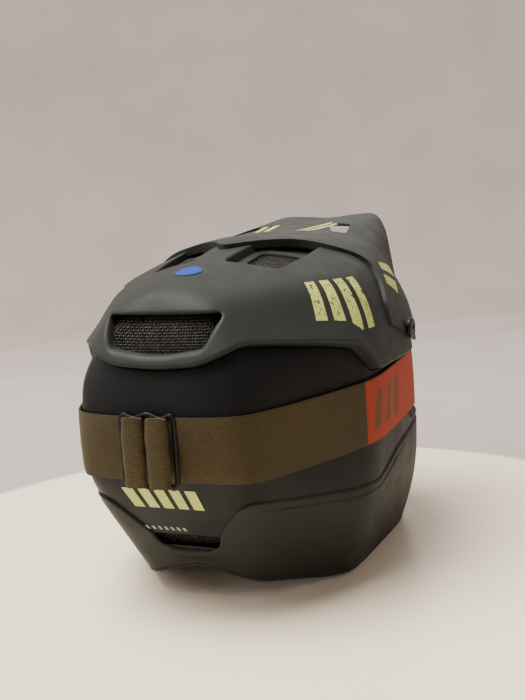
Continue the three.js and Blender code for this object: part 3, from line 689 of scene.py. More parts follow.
def elastic(name, dark, light, change=None):
    """Heathered woven elastic with a stitched edge; past `change` metres along it turns orange."""
    s = Shader(name)
    along, across = ribbon(s)
    knit = threads(s, along, across, 0.0017, 0.0011)
    fuzz = s.noise(1700, 5, rough=0.75)
    heather = s.ramp(s.noise(420, 4, stretch=(1, 1, 2.5)), 0.3, 0.7)
    tone = s.plus(s.times(knit, 0.45), s.plus(s.times(fuzz, 0.4), s.times(heather, 0.3)))
    colour = s.blend(s.ramp(tone, 0.36, 0.80), dark, light)
    edge = s.math("GREATER_THAN", s.math("ABSOLUTE", across), STITCHED_EDGE)
    if change:
        colour = orange_end(s, colour, along, across, tone, change)
    dim = s.mottled(15, 3, (0.8, 0.8, 0.8, 1), (1, 1, 1, 1), 0.35)
    worn = s.blend(1.0, colour, dim, "MULTIPLY")
    s.set(Base_Color=s.blend(s.times(edge, 0.55), worn, dark))
    s.set(Roughness=s.ramp(fuzz, 0.3, 0.7, 0.86, 0.97))
    s.set(Sheen_Weight=0.08, Sheen_Roughness=0.5, Sheen_Tint=(0.75, 0.68, 0.5, 1.0))
    s.bump(knit, 0.00028, 0.7)
    s.bump(fuzz, 0.0003, 0.45)
    s.bump(s.times(edge, -1.0), 0.0003, 0.6)
    return s.material


# Three slanted bars woven into each orange end, metres: where they start and stop, their step and
# width along the strap, half their height, and how far they lean for each metre of height.
BARS = {"start": 0.012, "stop": 0.075, "step": 0.021, "width": 0.011, "half": 0.0145, "lean": -0.28}


def orange_end(s, colour, along, across, tone, change):
    """The woven orange ends of the strap, each with its slanted olive bars."""
    away = s.math("SUBTRACT", s.math("ABSOLUTE", along), change)
    orange = s.blend(s.ramp(tone, 0.25, 0.95), shade(118, 31, 13), shade(182, 60, 29))
    slant = s.plus(away, s.times(across, BARS["lean"]))
    step = s.math("MODULO", s.math("SUBTRACT", slant, BARS["start"]), BARS["step"])
    in_bar = s.math("LESS_THAN", step, BARS["width"])
    in_height = s.math("LESS_THAN", s.math("ABSOLUTE", across), BARS["half"])
    in_length = s.times(s.math("GREATER_THAN", slant, BARS["start"]),
                        s.math("LESS_THAN", slant, BARS["stop"]))
    mark = s.times(s.times(in_bar, in_height), in_length)
    marked = s.blend(s.times(mark, 0.9), orange, shade(92, 64, 30))
    return s.blend(s.math("GREATER_THAN", away, 0.0), colour, marked)


def webbing_cloth():
    s = Shader("webbing_cloth")
    along, across = ribbon(s)
    weave = threads(s, along, across, 0.0032, 0.0016)
    fuzz = s.noise(1500, 4)
    s.set(Base_Color=s.blend(s.times(weave, 0.8), shade(12, 12, 13), shade(46, 46, 48)))
    s.set(Roughness=s.ramp(fuzz, 0.3, 0.7, 0.72, 0.9))
    s.set(Sheen_Weight=0.2, Sheen_Roughness=0.4, Sheen_Tint=(0.6, 0.6, 0.6, 1.0))
    s.bump(weave, 0.0004, 0.8)
    s.bump(fuzz, 0.00015, 0.4)
    return s.material


def badge_print(centre):
    """A plain blue disc with two faint rings and a speckle."""
    s = Shader("badge_print")
    from_middle = s.node("ShaderNodeVectorMath", {0: s.where, 1: tuple(centre)}, operation="DISTANCE")
    radius = from_middle.outputs["Value"]
    wave = s.math("ABSOLUTE", s.math("SINE", s.times(radius, 1150.0)))
    rings = s.ramp(wave, 0.86, 0.95)
    fleck = s.ramp(s.noise(700, 3), 0.55, 0.62)
    pattern = s.math("MAXIMUM", rings, s.times(fleck, 0.6))
    s.set(Base_Color=s.blend(s.times(pattern, 0.85), shade(26, 62, 150), shade(8, 24, 80)))
    s.roughness(300, 2, 0.45, 0.6)
    s.set(Specular_IOR_Level=0.3)
    s.bump(rings, -0.0001, 0.5)
    return s.material


CROWN_LIGHT, CROWN_DARK = shade(44, 48, 46), shade(39, 43, 41)
WAIST_LIGHT, WAIST_DARK = shade(10, 14, 15), shade(7, 11, 12)
PANEL_LIGHT, PANEL_DARK = shade(36, 39, 34), shade(31, 34, 30)
YELLOW_GREEN = shade(188, 198, 104)
OLIVE_DARK, OLIVE_LIGHT = shade(30, 25, 3), shade(74, 61, 20)

crown_paint = lacquer("crown_lacquer", CROWN_LIGHT, CROWN_DARK, 0.58)
waist_paint = lacquer("waist_lacquer", WAIST_LIGHT, WAIST_DARK, 0.5)
panel_paint = lacquer("panel_lacquer", PANEL_LIGHT, PANEL_DARK, 0.56)
black_moulding = moulded("black_moulding", shade(20, 21, 22))
gloss_moulding = moulded("slider_moulding", shade(9, 9, 10), 0.36, 2600)
edge_rubber = rubber()
foam_beads = bead_foam()
wire_metal = woven_wire()
plated_steel = steel()
lens_tint = tinted_lens()
pad_cloth = brushed_cloth("padding_cloth", shade(20, 21, 24), shade(62, 64, 69))
face_cloth = brushed_cloth("goggle_face_cloth", shade(28, 28, 30), shade(82, 82, 84), 1300)
web_cloth = webbing_cloth()

# ---------------------------------------------------------------- visor surface
VISOR_PROUD, VISOR_WALL, VISOR_BED = 7.5, 2.5, 1.8
VISOR_SEAM = [(0, 8, 262), (-21, -19, 262), (-42, -40, 260), (-70, -45, 255), (-96, -57, 241),
              (-107, -50, 228), (-116, -36, 211), (-119, -32, 192)]
VISOR_RIM = [(0, -240, 277), (-26, -240, 279), (-48, -232, 279), (-65, -210, 268), (-84, -170, 236),
             (-100, -134, 200), (-112, -106, 168)]
VISOR_SLOT = [(-25, -165), (-49, -161), (-59, -116), (-46, -116)]
SCREW = middle_of("visor_screw_left") - SHIFT


def mirror_points(points):
    right = np.array(points, float)
    return np.vstack([right[:0:-1] * (-1, 1, 1), right])


def visor_point(across, along, proud):
    """Point of the visor's outer face: it hugs the shell at the seam and flies free to the rim."""
    across, along, proud = np.broadcast_arrays(across, along, proud)
    seam = catmull(mirror_points(VISOR_SEAM), across)
    rim = catmull(mirror_points(VISOR_RIM), across)
    chord = seam + (rim - seam) * along[..., None]
    d = to_core(chord)
    hug = shell_radius(d) + proud
    free = lengths(chord - CORE) + (proud - VISOR_PROUD)
    blend = 5.0
    rounded_max = np.logaddexp(hug / blend, free / blend) * blend
    seated = np.where(hug - free > 12, hug, np.where(free - hug > 12, free, rounded_max - 0.4))
    return d * seated[..., None] + CORE


def plate(name, top, under):
    """A closed plate between two grids of points of the same size."""
    def loop(upper, lower):
        return np.vstack([upper, lower[::-1]])

    def flat_end(row):
        between = (top[row] + under[row]) / 2
        return loop(between, between)

    rows = [loop(upper, lower) for upper, lower in zip(top, under)]
    return body_from(name, [flat_end(0), *rows, flat_end(-1)])


# ---------------------------------------------------------------- shell pieces
AZIMUTHS = full_turn(264)
PORT_CORNER = 14                       # rounding of the eye port's corners


def eye_port_tool(outline):
    return block(outline, "x", -220, 220)


def rear_vent_tool(depth, draft):
    return recess_tool(REAR_VENT, REAR, CROWN_STEP, depth, 3.6, 5, draft)


def lower_vent_tool(depth, draft):
    return recess_tool(LOWER_VENT, REAR, PANEL_STEP, depth, 2.2, 4, draft)


def lower_openings():
    """Cutters for the openings that the waist and the lower panel share."""
    return (
        eye_port_tool(rounded(EYE_PORT, PORT_CORNER)),
        lower_vent_tool(22, 1.0),
        recess_tool(MOUTH_VENT, FRONT, PANEL_STEP, 22, 2.2, 5, 0.6),
    )


def crown_layer():
    """The raised crown, from the top down over its flared lip and back up its inner side."""
    edge = elevation_at(AZIMUTHS, lip_line(AZIMUTHS))
    flare = lip_flare(AZIMUTHS)

    def proud(arc):
        return CROWN_STEP + flare * np.clip(1 - arc / 27, 0, 1) ** 2

    def row(arc, offset):
        elevation = edge + (math.pi / 2 - edge) * arc / CROWN_ARC
        return on_shell(toward(AZIMUTHS, elevation), offset)

    outer_arcs = [*np.linspace(CROWN_ARC, 30, 54), 26, 22, 18, 14, 11, 8, 5.5, 3.6]
    inner_arcs = [0.9, 12, 30, 60, 95, 130, 155, CROWN_ARC]
    rows = [row(arc, proud(arc)) for arc in outer_arcs]
    for turn in np.radians(np.linspace(0, 90, 6)):
        arc = LIP_ROUND * (1 - math.sin(turn))
        rows.append(row(arc, proud(arc) - LIP_ROUND * (1 - math.cos(turn))))
    tuck = proud(0) - LIP_ROUND - 0.3
    rows += [row(0.2 + 0.5 * t, 0.3 + tuck * (1 - t)) for t in (0.4, 0.8, 1)]
    rows += [row(arc, -WALL) for arc in inner_arcs]
    body = body_from("crown_layer", rows)
    carve(body, visor_bed(), eye_port_tool(rounded(EYE_PORT, PORT_CORNER)), rear_vent_tool(22, 1.0))
    for flip in (list, mirrored):
        recess_depth = CROWN_STEP - 0.5
        carve(body, recess_tool(flip(CROWN_RECESS), TOP, CROWN_STEP, recess_depth, 1.8, 6, 0.8, 140))
        for vent in (CROWN_VENT_REAR, CROWN_VENT_FRONT):
            carve(body, recess_tool(flip(vent), TOP, 0.5, 14, 0.9, 4, 0.4))
    return dressed(body, crown_paint, stands_for=["outer_shell"])


def visor_bed():
    """A cutter for the seat in the crown that the peak lies in."""
    across, along = np.meshgrid(np.linspace(0, 1, 121), np.linspace(-0.008, 1.08, 30), indexing="ij")
    d = to_core(visor_point(across, along, 0.0))
    floor = np.where(along < 0.045, 0.6, VISOR_BED)
    return plate("tool", on_shell(d, 62.0), on_shell(d, floor))


def waist_band():
    bottom = elevation_at(AZIMUTHS, bottom_line(AZIMUTHS))
    top = elevation_at(AZIMUTHS, lip_line(AZIMUTHS))

    def row(share, offset):
        return on_shell(toward(AZIMUTHS, bottom + (top - bottom) * share), offset)

    rows = [row(share, 0.0) for share in np.linspace(0.008, 0.997, 46)]
    rows += [row(share, -WALL) for share in np.linspace(0.997, 0.008, 16)]
    body = carve(body_from("waist_band", rows, ring=True), *lower_openings())
    return dressed(body, waist_paint)


SKIN_RADIUS = 160                      # about the shell's radius at the panel


def lower_panel():
    """The light lower panel, with a rolled foot, a stepped top edge and a second crease below it."""
    side = degrees_off_rear(AZIMUTHS)
    second = np.clip((side - 22) / 10, 0, 1) * np.clip((112 - side) / 14, 0, 1)
    bottom = elevation_at(AZIMUTHS, bottom_line(AZIMUTHS))
    top = elevation_at(AZIMUTHS, panel_line(AZIMUTHS))

    def row(share, offset, drop=0.0):
        elevation = bottom + (top - bottom) * share - drop / SKIN_RADIUS
        return on_shell(toward(AZIMUTHS, elevation), offset)

    full = PANEL_STEP + 0.2 * second
    step = full - 0.8 * second
    rows = [row(0, 0.15), row(0, full - 1.4), row(0, full - 0.4, -0.3), row(0, full, -1.4)]
    rows += [row(share, full) for share in np.linspace(0.05, 0.80, 26)]
    rows += [row(1, full, drop) for drop in (9.5, 8.7)]
    rows += [row(1, step, drop) for drop in (7.6, 6.8, 4.0, 2.2)]
    rows += [row(1, step - 0.35, 1.1), row(1, step - 1.0, 0.4), row(1, 0.15)]
    rows += [row(share, 0.15) for share in (0.8, 0.5, 0.2)]
    body = carve(body_from("lower_panel", rows, ring=True), *lower_openings())
    return dressed(body, panel_paint)


def soften(obj, width, segments, degrees):
    """Rounds the edges that are sharper than an angle."""
    bevel = obj.modifiers.new("soften", "BEVEL")
    bevel.width = width
    bevel.segments = segments
    bevel.limit_method = "ANGLE"
    bevel.angle_limit = math.radians(degrees)


def visor():
    """The peak: a thin plate with a ridge along its middle and its rear edge turned down."""
    u, v = np.meshgrid(np.linspace(0, 1, 181), np.linspace(0, 1, 56), indexing="ij")
    rise = 1.1 * np.exp(-((u - 0.5) / 0.035) ** 4) * np.clip(v * 6, 0, 1) * np.clip((1 - v) * 6, 0, 1)
    top = visor_point(u, v, VISOR_PROUD + rise)
    normal = unit(np.cross(np.gradient(top, axis=0), np.gradient(top, axis=1)))
    normal *= np.sign((normal * to_core(top)).sum(-1))[..., None]
    turned_down = np.clip((0.03 - v) / 0.012, 0, 1) * (VISOR_PROUD - VISOR_WALL - 1.0)
    under = top - normal * (VISOR_WALL + turned_down)[..., None]
    body = plate("visor_peak", top, under)
    soften(body, 0.0009, 3, 50)
    baked(body)
    for flip in (list, mirrored):
        carve(body, block(rounded(flip(VISOR_SLOT), 5), "z", 150, 400))
    bore = [(0, -160), (4.2, -160), (4.2, 160), (0, 160)]
    carve(body, lathe("tool", (0, SCREW[1], SCREW[2]), (1, 0, 0), bore))
    return dressed(body, crown_paint, body="visor", stands_for=["visor"])


def reach_of(node):
    """The least and the greatest distance of a side part from the middle of the helmet."""
    low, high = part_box(node)
    return sorted((abs(low.x) * 1000, abs(high.x) * 1000))


def visor_screws():
    """Round-headed screws with a hexagonal socket."""
    for side, name in LEFT_AND_RIGHT:
        inner, outer = reach_of(f"visor_screw_{name}")
        head = outer - 3.2
        profile = [
            (0, inner), (3.4, inner), (3.4, head), (8.1, head), (8.5, head + 0.5), (8.5, head + 1.9),
            (8.2, head + 2.6), (7.4, head + 3.1), (6.2, head + 3.2), (5.6, head + 2.7),
            (5.2, head + 2.7), (4.9, head + 3.0), (0, head + 3.0),
        ]
        screw = lathe(f"visor_screw_{name}.head", (0, SCREW[1], SCREW[2]), (side, 0, 0), profile)
        turn = np.radians(np.arange(0, 360, 60))
        hexagon = [(SCREW[1] + 2.6 * math.cos(t), SCREW[2] + 2.6 * math.sin(t)) for t in turn]
        ends = sorted((side * (outer - 2.4), side * (outer + 5)))
        carve(screw, block(hexagon, "x", *ends))
        dressed(screw, gloss_moulding, stands_for=[f"visor_screw_{name}"], crisp=32)


# ---------------------------------------------------------------- meshes, trims, badge
def inside_spans(outline, level, axis):
    """Where a line at that level, across the given axis of the outline, runs inside it."""
    other = 1 - axis
    ahead = np.roll(outline, -1, 0)
    hits = []
    for a, b in zip(outline, ahead):
        if (a[axis] > level) != (b[axis] > level):
            share = (level - a[axis]) / (b[axis] - a[axis])
            hits.append(a[other] + (b[other] - a[other]) * share)
    hits.sort()
    return list(zip(hits[::2], hits[1::2]))


WIRE = {"pitch": 2.0, "radius": 0.31, "past_rim": 2.4}


def woven_mesh(name, outline, direction, offset, bulge, stands_for):
    """Plain-woven wire that follows the shell at an offset and bulges outward in its middle."""
    pitch, wire = WIRE["pitch"], WIRE["radius"]
    rim = grown(resampled(rounded(outline, 4), 90), WIRE["past_rim"])
    low, high = rim.min(0), rim.max(0)
    centre, half = (low + high) / 2, (high - low) / 2
    parts = []
    for axis in (0, 1):
        levels = np.arange(low[axis] + pitch / 2, high[axis], pitch)
        for k, level in enumerate(levels):
            for first, last in inside_spans(rim, level, axis):
                run = np.linspace(first, last, max(4, int((last - first) / pitch * 4)))
                flat = np.empty((len(run), 2))
                flat[:, axis], flat[:, 1 - axis] = level, run
                phase = math.pi * ((run - low[1 - axis]) / pitch + k)
                over = wire * 0.8 * np.cos(phase) * (1 if axis else -1)
                spot = np.clip(1 - ((flat - centre) / half) ** 2, 0, 1).prod(-1)
                points = cast(flat, direction, offset + over + bulge * spot)
                parts.append(swept(points, round_section(wire, 5), closed=False))
    return dressed(merged(name, parts), wire_metal, stands_for=stands_for, crisp=80)


def vent_meshes():
    woven_mesh("rear_vent_wire", REAR_VENT, REAR, -2.4, 5.0, ["rear_vent_mesh"])
    for flip, name in ((list, "right"), (mirrored, "left")):
        for outline, end in ((CROWN_VENT_REAR, "rear"), (CROWN_VENT_FRONT, "front")):
            node = f"crown_vent_mesh_{end}_{name}"
            woven_mesh(f"{node}.wire", flip(outline), TOP, -2.2, 0.0, [node])
    woven_mesh("lower_vent_wire", LOWER_VENT, REAR, -5.2, 0.0, ())


def port_edge(offset):
    """The closed line that the eye port's edge draws on the shell."""
    outline = resampled(rounded(EYE_PORT, PORT_CORNER, 9), 600)
    rear = outline[outline[:, 0] > -150]
    rear = rear[np.argsort(np.unwrap(np.arctan2(rear[:, 1] - 154, -150 - rear[:, 0])))]
    if rear[0, 1] < rear[-1, 1]:
        rear = rear[::-1]
    side = on_skin(np.column_stack([np.zeros(len(rear)), rear]), (1, 0, 0), offset)
    half_width = side[0, 0]
    across = np.linspace(-half_width, half_width, 80)[1:-1]

    def front(level):
        return cast(np.column_stack([across, np.full(len(across), level)]), FRONT, offset)

    upper, lower = front(rear[0, 1] + 0.6), front(rear[-1, 1] - 0.6)
    right = side[::-1] * (-1, 1, 1)
    return resampled(np.vstack([upper, side, lower[::-1], right]), 420)


def eye_port_edging():
    """A U-shaped rubber edge that grips the shell round the eye port."""
    section = [(-1.9, 0.2), (-1.5, 1.1), (-0.5, 1.6), (0.6, 1.5), (1.5, 0.9), (1.9, -0.2), (1.9, -5.0),
               (-1.4, -5.0), (-1.6, -2.0)]
    edging = merged("eye_port_edging", [swept(port_edge(0.0), section)])
    return dressed(edging, edge_rubber, stands_for=["eye_port_trim"])


def bottom_edging():
    """A rubber bead under the shell, with a rounded oblong section."""
    rows = []
    for turn in full_turn(18):
        height = bottom_line(AZIMUTHS) - 1.9 + 1.5 * squared(math.sin(turn), 0.6)
        offset = -1.2 + 3.7 * squared(math.cos(turn), 0.5)
        rows.append(on_shell(toward(AZIMUTHS, elevation_at(AZIMUTHS, height, offset)), offset))
    edging = body_from("bottom_edging", rows, ring=True)
    return dressed(edging, edge_rubber, stands_for=["bottom_trim"])


BADGE_PROFILE = [(0, -0.5), (4, -0.5), (8, -0.5), (10.6, -0.5), (10.8, 0.1), (10.4, 0.45), (9.6, 0.35),
                 (8.8, 0.35), (6, 0.4), (3, 0.4), (0, 0.4)]


def badge():
    """A thin disc that lies on the crown's curve."""
    centre = middle_of("badge") - SHIFT
    plateau = FACETS[1][0]
    disc = lathe("round_badge", centre, plateau, BADGE_PROFILE, 64)
    points = coordinates(disc) * 1000 - SHIFT
    lift = (points - centre) @ unit(plateau)
    draped = on_shell(to_core(points), CROWN_STEP + 0.4 + lift)
    move_points(disc, (draped + SHIFT) / 1000)
    return dressed(disc, badge_print(middle_of("badge") / 1000), stands_for=["badge"])


# ---------------------------------------------------------------- liner and padding
def widened(outline, corner, count):
    """A rounded outline, a millimetre larger all round, for the foam behind an opening."""
    return grown(resampled(rounded(outline, corner), count), 1)


def liner_body(name):
    """The whole foam liner, chin bar included, from its inner top down and up its outer side."""
    bottom = elevation_at(AZIMUTHS, bottom_line(AZIMUTHS))

    def row(share, radius_of):
        d = toward(AZIMUTHS, bottom + (math.pi / 2 - bottom) * share)
        return d * radius_of(d)[:, None] + CORE

    def against_shell(d):
        return shell_radius(d) - WALL - 0.4

    rows = [row(share, liner_radius) for share in np.linspace(1, 0, 40)]
    rows += [row(share, against_shell) for share in np.linspace(0, 1, 30)]
    return carve(body_from(name, rows), eye_port_tool(widened(EYE_PORT, PORT_CORNER, 120)))


CHIN_SPLIT = -96                       # y where the chin bar's foam meets the main liner


def chin_block(y):
    return block([(-300, -50), (y, -50), (y, 125), (-300, 125)], "x", -220, 220)


def liners():
    main = liner_body("main_liner")
    carve(main, chin_block(CHIN_SPLIT + 0.4), rear_vent_tool(20, -2.0), lower_vent_tool(16, -2.0))
    dressed(main, foam_beads, stands_for=["foam_liner"])
    chin = carve(liner_body("chin_bar_liner"), chin_block(CHIN_SPLIT), operation="INTERSECT")
    carve(chin, block(widened(MOUTH_VENT, 5, 60), "y", -320, -150))
    dressed(chin, foam_beads, stands_for=["chin_bar_foam"])


def remesh(obj, voxel):
    modifier = obj.modifiers.new("even", "REMESH")
    modifier.mode = "VOXEL"
    modifier.voxel_size = voxel
    return baked(obj)


def inflate(obj, pressure, most):
    """Blows the piece up as sewn cloth, and lets no point move by more than `most` metres."""
    before = coordinates(obj)
    cloth = obj.modifiers.new("stuffing", "CLOTH")
    cloth.settings.use_pressure = True
    cloth.settings.uniform_pressure_force = pressure
    cloth.settings.tension_stiffness = 8
    cloth.settings.compression_stiffness = 8
    cloth.settings.effector_weights.gravity = 0
    cloth.point_cache.frame_start, cloth.point_cache.frame_end = 1, 20
    for step in range(1, 21):
        bpy.context.scene.frame_set(step)
    baked(obj)
    bpy.context.scene.frame_set(1)
    moved = coordinates(obj) - before
    far = lengths(moved)[:, None]
    move_points(obj, before + moved * np.minimum(1, most / np.maximum(far, 1e-9)))


def kept_inside(obj, clearance):
    """Pushes back any point that has come within `clearance` millimetres of the liner."""
    points = coordinates(obj) * 1000 - SHIFT
    d = to_core(points)
    most = liner_radius(d) - clearance
    radius = np.minimum(lengths(points - CORE), most)
    move_points(obj, (d * radius[:, None] + CORE + SHIFT) / 1000)


PAD_FILLS = {"crown_pad": 0.5, "cheek_pad_left": 0.8, "cheek_pad_right": 0.8, "neck_roll": 0.7}


def pads():
    for node, fill in PAD_FILLS.items():
        pad = remesh(placed(f"{node}.cushion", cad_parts[node].data.copy()), 0.004)
        inflate(pad, 4.0, 0.0035)
        kept_inside(pad, 0.5)
        smooth = pad.modifiers.new("smooth", "SMOOTH")
        smooth.factor = 0.5
        smooth.iterations = 3
        finer = pad.modifiers.new("finer", "SUBSURF")
        finer.levels = finer.render_levels = 1
        baked(pad)
        dressed(pad, pad_cloth, stands_for=[node], crisp=80)


# ---------------------------------------------------------------- chin strap
STRAP_LEAN = math.radians(36)
STRAP_X = np.array((1.0, 0.0, 0.0))
STRAP_DROP = np.array((0.0, -math.sin(STRAP_LEAN), -math.cos(STRAP_LEAN)))
STRAP_WIDE = np.array((0.0, math.cos(STRAP_LEAN), -math.sin(STRAP_LEAN)))
WEB_WIDTH, TAIL_WIDTH, WEB_THICK = 24, 22, 1.8
RING = {"x": 30, "drop": 50, "length": 20, "width": 32, "wire": 1.6}


def in_strap_plane(x, drop, wide=0.0):
    x, drop, wide = np.broadcast_arrays(x, drop, wide)
    return (np.array((0.0, 0.0, ANCHOR_LEVEL)) + x[..., None] * STRAP_X
            + drop[..., None] * STRAP_DROP + wide[..., None] * STRAP_WIDE)


def map_band(obj, rows, columns, along, across):
    """Writes how far each point lies along and across a band, in metres, as the piece's map."""
    layer = obj.data.uv_layers.new(name="band")
    index = np.empty(len(obj.data.loops), int)
    obj.data.loops.foreach_get("vertex_index", index)
    flat = np.stack(np.broadcast_arrays(along, across), -1).reshape(-1, 2) / 1000
    extra = len(obj.data.vertices) - rows * columns
    flat = np.vstack([flat, flat[:1].repeat(extra, 0)]) if extra > 0 else flat
    layer.data.foreach_set("uv", flat[index].ravel())


def tube_faces(rows, columns):
    """Faces of an open tube of loops, with one flat face over each of its ends."""
    count = rows * columns
    ends = [list(range(columns)), list(range(count - columns, count))[::-1]]
    return grid_faces(rows, columns, around=True).tolist() + ends


# Each web's width, and its route in the strap's plane: (x, drop below the rivets).
WEBS = {
    "chin_strap_short": (WEB_WIDTH, [(79, 2), (76, 12), (64, 26), (50, 40), (40, 44)]),
    "chin_strap_long": (
        WEB_WIDTH, [(-79, 2), (-76, 12), (-64, 27), (-44, 46), (-16, 57), (6, 57), (22, 52)]),
    "chin_strap_tail": (TAIL_WIDTH, [(-18, 51.5), (-8, 52.4), (3, 51.4), (13, 48.6)]),
}
WEB_STEPS = 90


def chin_webs():
    for node, (width, route) in WEBS.items():
        flat = resampled(catmull(route, np.linspace(0, 1, 200)), WEB_STEPS, closed=False)
        run = unit(np.gradient(flat, axis=0))
        path = in_strap_plane(flat[:, 0], flat[:, 1])
        section = soft_rectangle(width / 2, WEB_THICK / 2, 0.3, 32)
        normal = run[:, :1] * STRAP_DROP - run[:, 1:] * STRAP_X
        points = (path[:, None] + section[None, :, :1] * STRAP_WIDE
                  + section[None, :, 1:] * normal[:, None])
        web = merged(f"{node}.webbing", [(points, tube_faces(WEB_STEPS, len(section)))])
        along = np.linspace(0, lengths(np.diff(flat, axis=0)).sum(), WEB_STEPS)
        map_band(web, WEB_STEPS, len(section), along[:, None], section[None, :, 0])
        dressed(web, web_cloth, body="chin_strap", stands_for=[node], crisp=50)


def d_rings():
    """Two rings of bent wire, each a straight bar closed by a bow."""
    half = RING["width"] / 2 - RING["wire"]
    corner = 4.0
    bar = RING["x"] + 6 - RING["wire"]
    bow_reach = RING["length"] - 2 * RING["wire"]
    turn = np.radians(np.linspace(90, 270, 40))
    bow = np.column_stack([bar + bow_reach * np.cos(turn), half * np.sin(turn)])
    straight = np.array([(bar, -half + corner), (bar, half - corner)])
    outline = resampled(np.vstack([bow[1:-1], straight]), 96)
    for node, level in (("d_ring_upper", RING["drop"] - 4), ("d_ring_lower", RING["drop"] + 1)):
        path = in_strap_plane(outline[:, 0], level - RING["wire"], outline[:, 1])
        section = round_section(RING["wire"], 14)
        ring = merged(f"{node}.wire", [swept(path, section, outward=STRAP_DROP)])
        dressed(ring, plated_steel, body="chin_strap", stands_for=[node], crisp=80)


def rivets():
    for side, name in LEFT_AND_RIGHT:
        near, _ = reach_of(f"strap_rivet_{name}")
        profile = [(0, near), (2.5, near + 0.1), (4.4, near + 0.5), (5.6, near + 1.3), (6, near + 2.2),
                   (6, near + 3.9), (5.4, near + 4.0), (0, near + 4.0)]
        stud = lathe(f"strap_rivet_{name}.stud", (0, 0, ANCHOR_LEVEL), (side, 0, 0), profile)
        dressed(stud, plated_steel, stands_for=[f"strap_rivet_{name}"])


# ---------------------------------------------------------------- goggles
GOGGLE = {"half_width": 84, "half_height": 44, "front": -176, "level": 153, "bend": 112, "rim": 9}
GOGGLE_STEPS = 168


def goggle_point(x, z, depth):
    bend = GOGGLE["bend"] - depth
    turn = x / GOGGLE["bend"]
    y = GOGGLE["front"] + GOGGLE["bend"] - bend * np.cos(turn)
    return np.stack(np.broadcast_arrays(bend * np.sin(turn), y, GOGGLE["level"] + z), -1)


def goggle_loop(shrink, depth):
    """The goggles' outline, with the arch over the nose, made smaller by `shrink`."""
    turn = full_turn(GOGGLE_STEPS)
    x = (GOGGLE["half_width"] - shrink) * squared(np.cos(turn), 0.72)
    z = (GOGGLE["half_height"] - shrink) * squared(np.sin(turn), 0.72)
    arch = np.where(z < 0, 17 * np.exp(-((x / 20) ** 2)), 0)
    return goggle_point(x, z + arch, depth)


def goggle_ring(name, profile):
    """A closed ring from a section of (shrink, depth) pairs."""
    return body_from(name, [goggle_loop(shrink, depth) for shrink, depth in profile], ring=True)


def goggle_frame():
    rim = GOGGLE["rim"]
    ring = goggle_ring("goggle_frame.ring", [
        (1.2, 0.3), (0.2, 1.4), (0, 3), (0, 6), (0.8, 6.8), (0.8, 8.6), (0, 9.4), (0, 14.5), (0.6, 16),
        (rim - 0.6, 16), (rim, 15), (rim, 2.6), (rim - 0.5, 1.2), (rim - 1.6, 0.4), (rim - 4, 0),
    ])
    dressed(ring, black_moulding, stands_for=["goggle_frame"])


def goggle_foam():
    ring = goggle_ring("goggle_foam.ring", [
        (2.2, 16.4), (2.0, 22), (2.0, 29), (2.8, 31.2), (5, 32), (9, 32), (11.2, 31.2), (12, 29),
        (12, 20), (11.6, 16.4),
    ])
    dressed(ring, face_cloth, stands_for=["goggle_foam"], crisp=70)


def goggle_lens():
    """A pane that fills the frame, from its middle out over the front and back to its middle."""
    front, back = 4.9, 6.4
    shrinks = [GOGGLE["rim"] + 0.4 + inset for inset in (0, 0.5, 5, 11, 18, 26)]

    def middle(depth):
        return goggle_point(np.zeros(GOGGLE_STEPS), np.full(GOGGLE_STEPS, 4.0), depth)

    rows = [middle(front)]
    rows += [goggle_loop(shrink, front) for shrink in shrinks[::-1]]
    rows += [goggle_loop(shrink, back) for shrink in shrinks]
    rows += [middle(back)]
    dressed(body_from("goggle_lens.pane", rows), lens_tint, stands_for=["goggle_lens"])


ELASTIC = {"half_width": 24, "clearance": 1.5, "thick": 2, "leaves": 125, "end_x": 92, "end_y": -136}
STRAP_REACH = ELASTIC["leaves"] + 11
COLOUR_CHANGE = 0.187                 # metres along the strap from the rear to its orange ends


def elastic_point(degrees, across, lift):
    degrees, across, lift = np.broadcast_arrays(degrees, across, lift)
    side = np.where(degrees < 0, -1.0, 1.0)
    azimuth = np.radians(side * np.minimum(np.abs(degrees), ELASTIC["leaves"]))
    height = strap_line(azimuth) + across * ELASTIC["half_width"]
    d = toward(azimuth, elevation_at(azimuth, height))
    on_side = on_shell(d, ELASTIC["clearance"] + lift)
    past = np.clip((np.abs(degrees) - ELASTIC["leaves"]) / 12, 0, 1)[..., None]
    end = np.stack([
        -side * (ELASTIC["end_x"] + lift * 0.8),
        ELASTIC["end_y"] - lift * 0.6,
        strap_line(math.radians(ELASTIC["leaves"])) + across * 22,
    ], -1)
    return on_side + (end - on_side) * past


def goggle_strap():
    degrees = np.linspace(-STRAP_REACH, STRAP_REACH, 420)
    section = soft_rectangle(1.0, ELASTIC["thick"] / 2, 0.22, 44)
    ripple = 0.14 * np.sin(degrees * 0.31) * np.sin(degrees * 0.083 + 1.0)
    grid = elastic_point(degrees[:, None], section[None, :, 0],
                         ELASTIC["thick"] / 2 + section[None, :, 1] + ripple[:, None])
    strap = merged("goggle_strap.band", [(grid, tube_faces(len(degrees), len(section)))])
    centre = elastic_point(degrees, 0.0, 2.0)
    along = np.concatenate([[0], np.cumsum(lengths(np.diff(centre, axis=0)))])
    along -= np.interp(0, degrees, along)
    across = section[None, :, 0] * ELASTIC["half_width"]
    map_band(strap, len(degrees), len(section), along[:, None], across)
    cloth = elastic("olive_elastic", OLIVE_DARK, OLIVE_LIGHT, COLOUR_CHANGE)
    dressed(strap, cloth, stands_for=["goggle_strap"], crisp=60)


SLIDER = {"middle": 4, "half_width": 23, "half_height": 28, "bar": 3.6, "thick": 2.6}


def slider_back():
    """y of the face of the slider that lies toward the strap."""
    return middle_of("strap_slider")[1] - SHIFT[1] - SLIDER["thick"] / 2


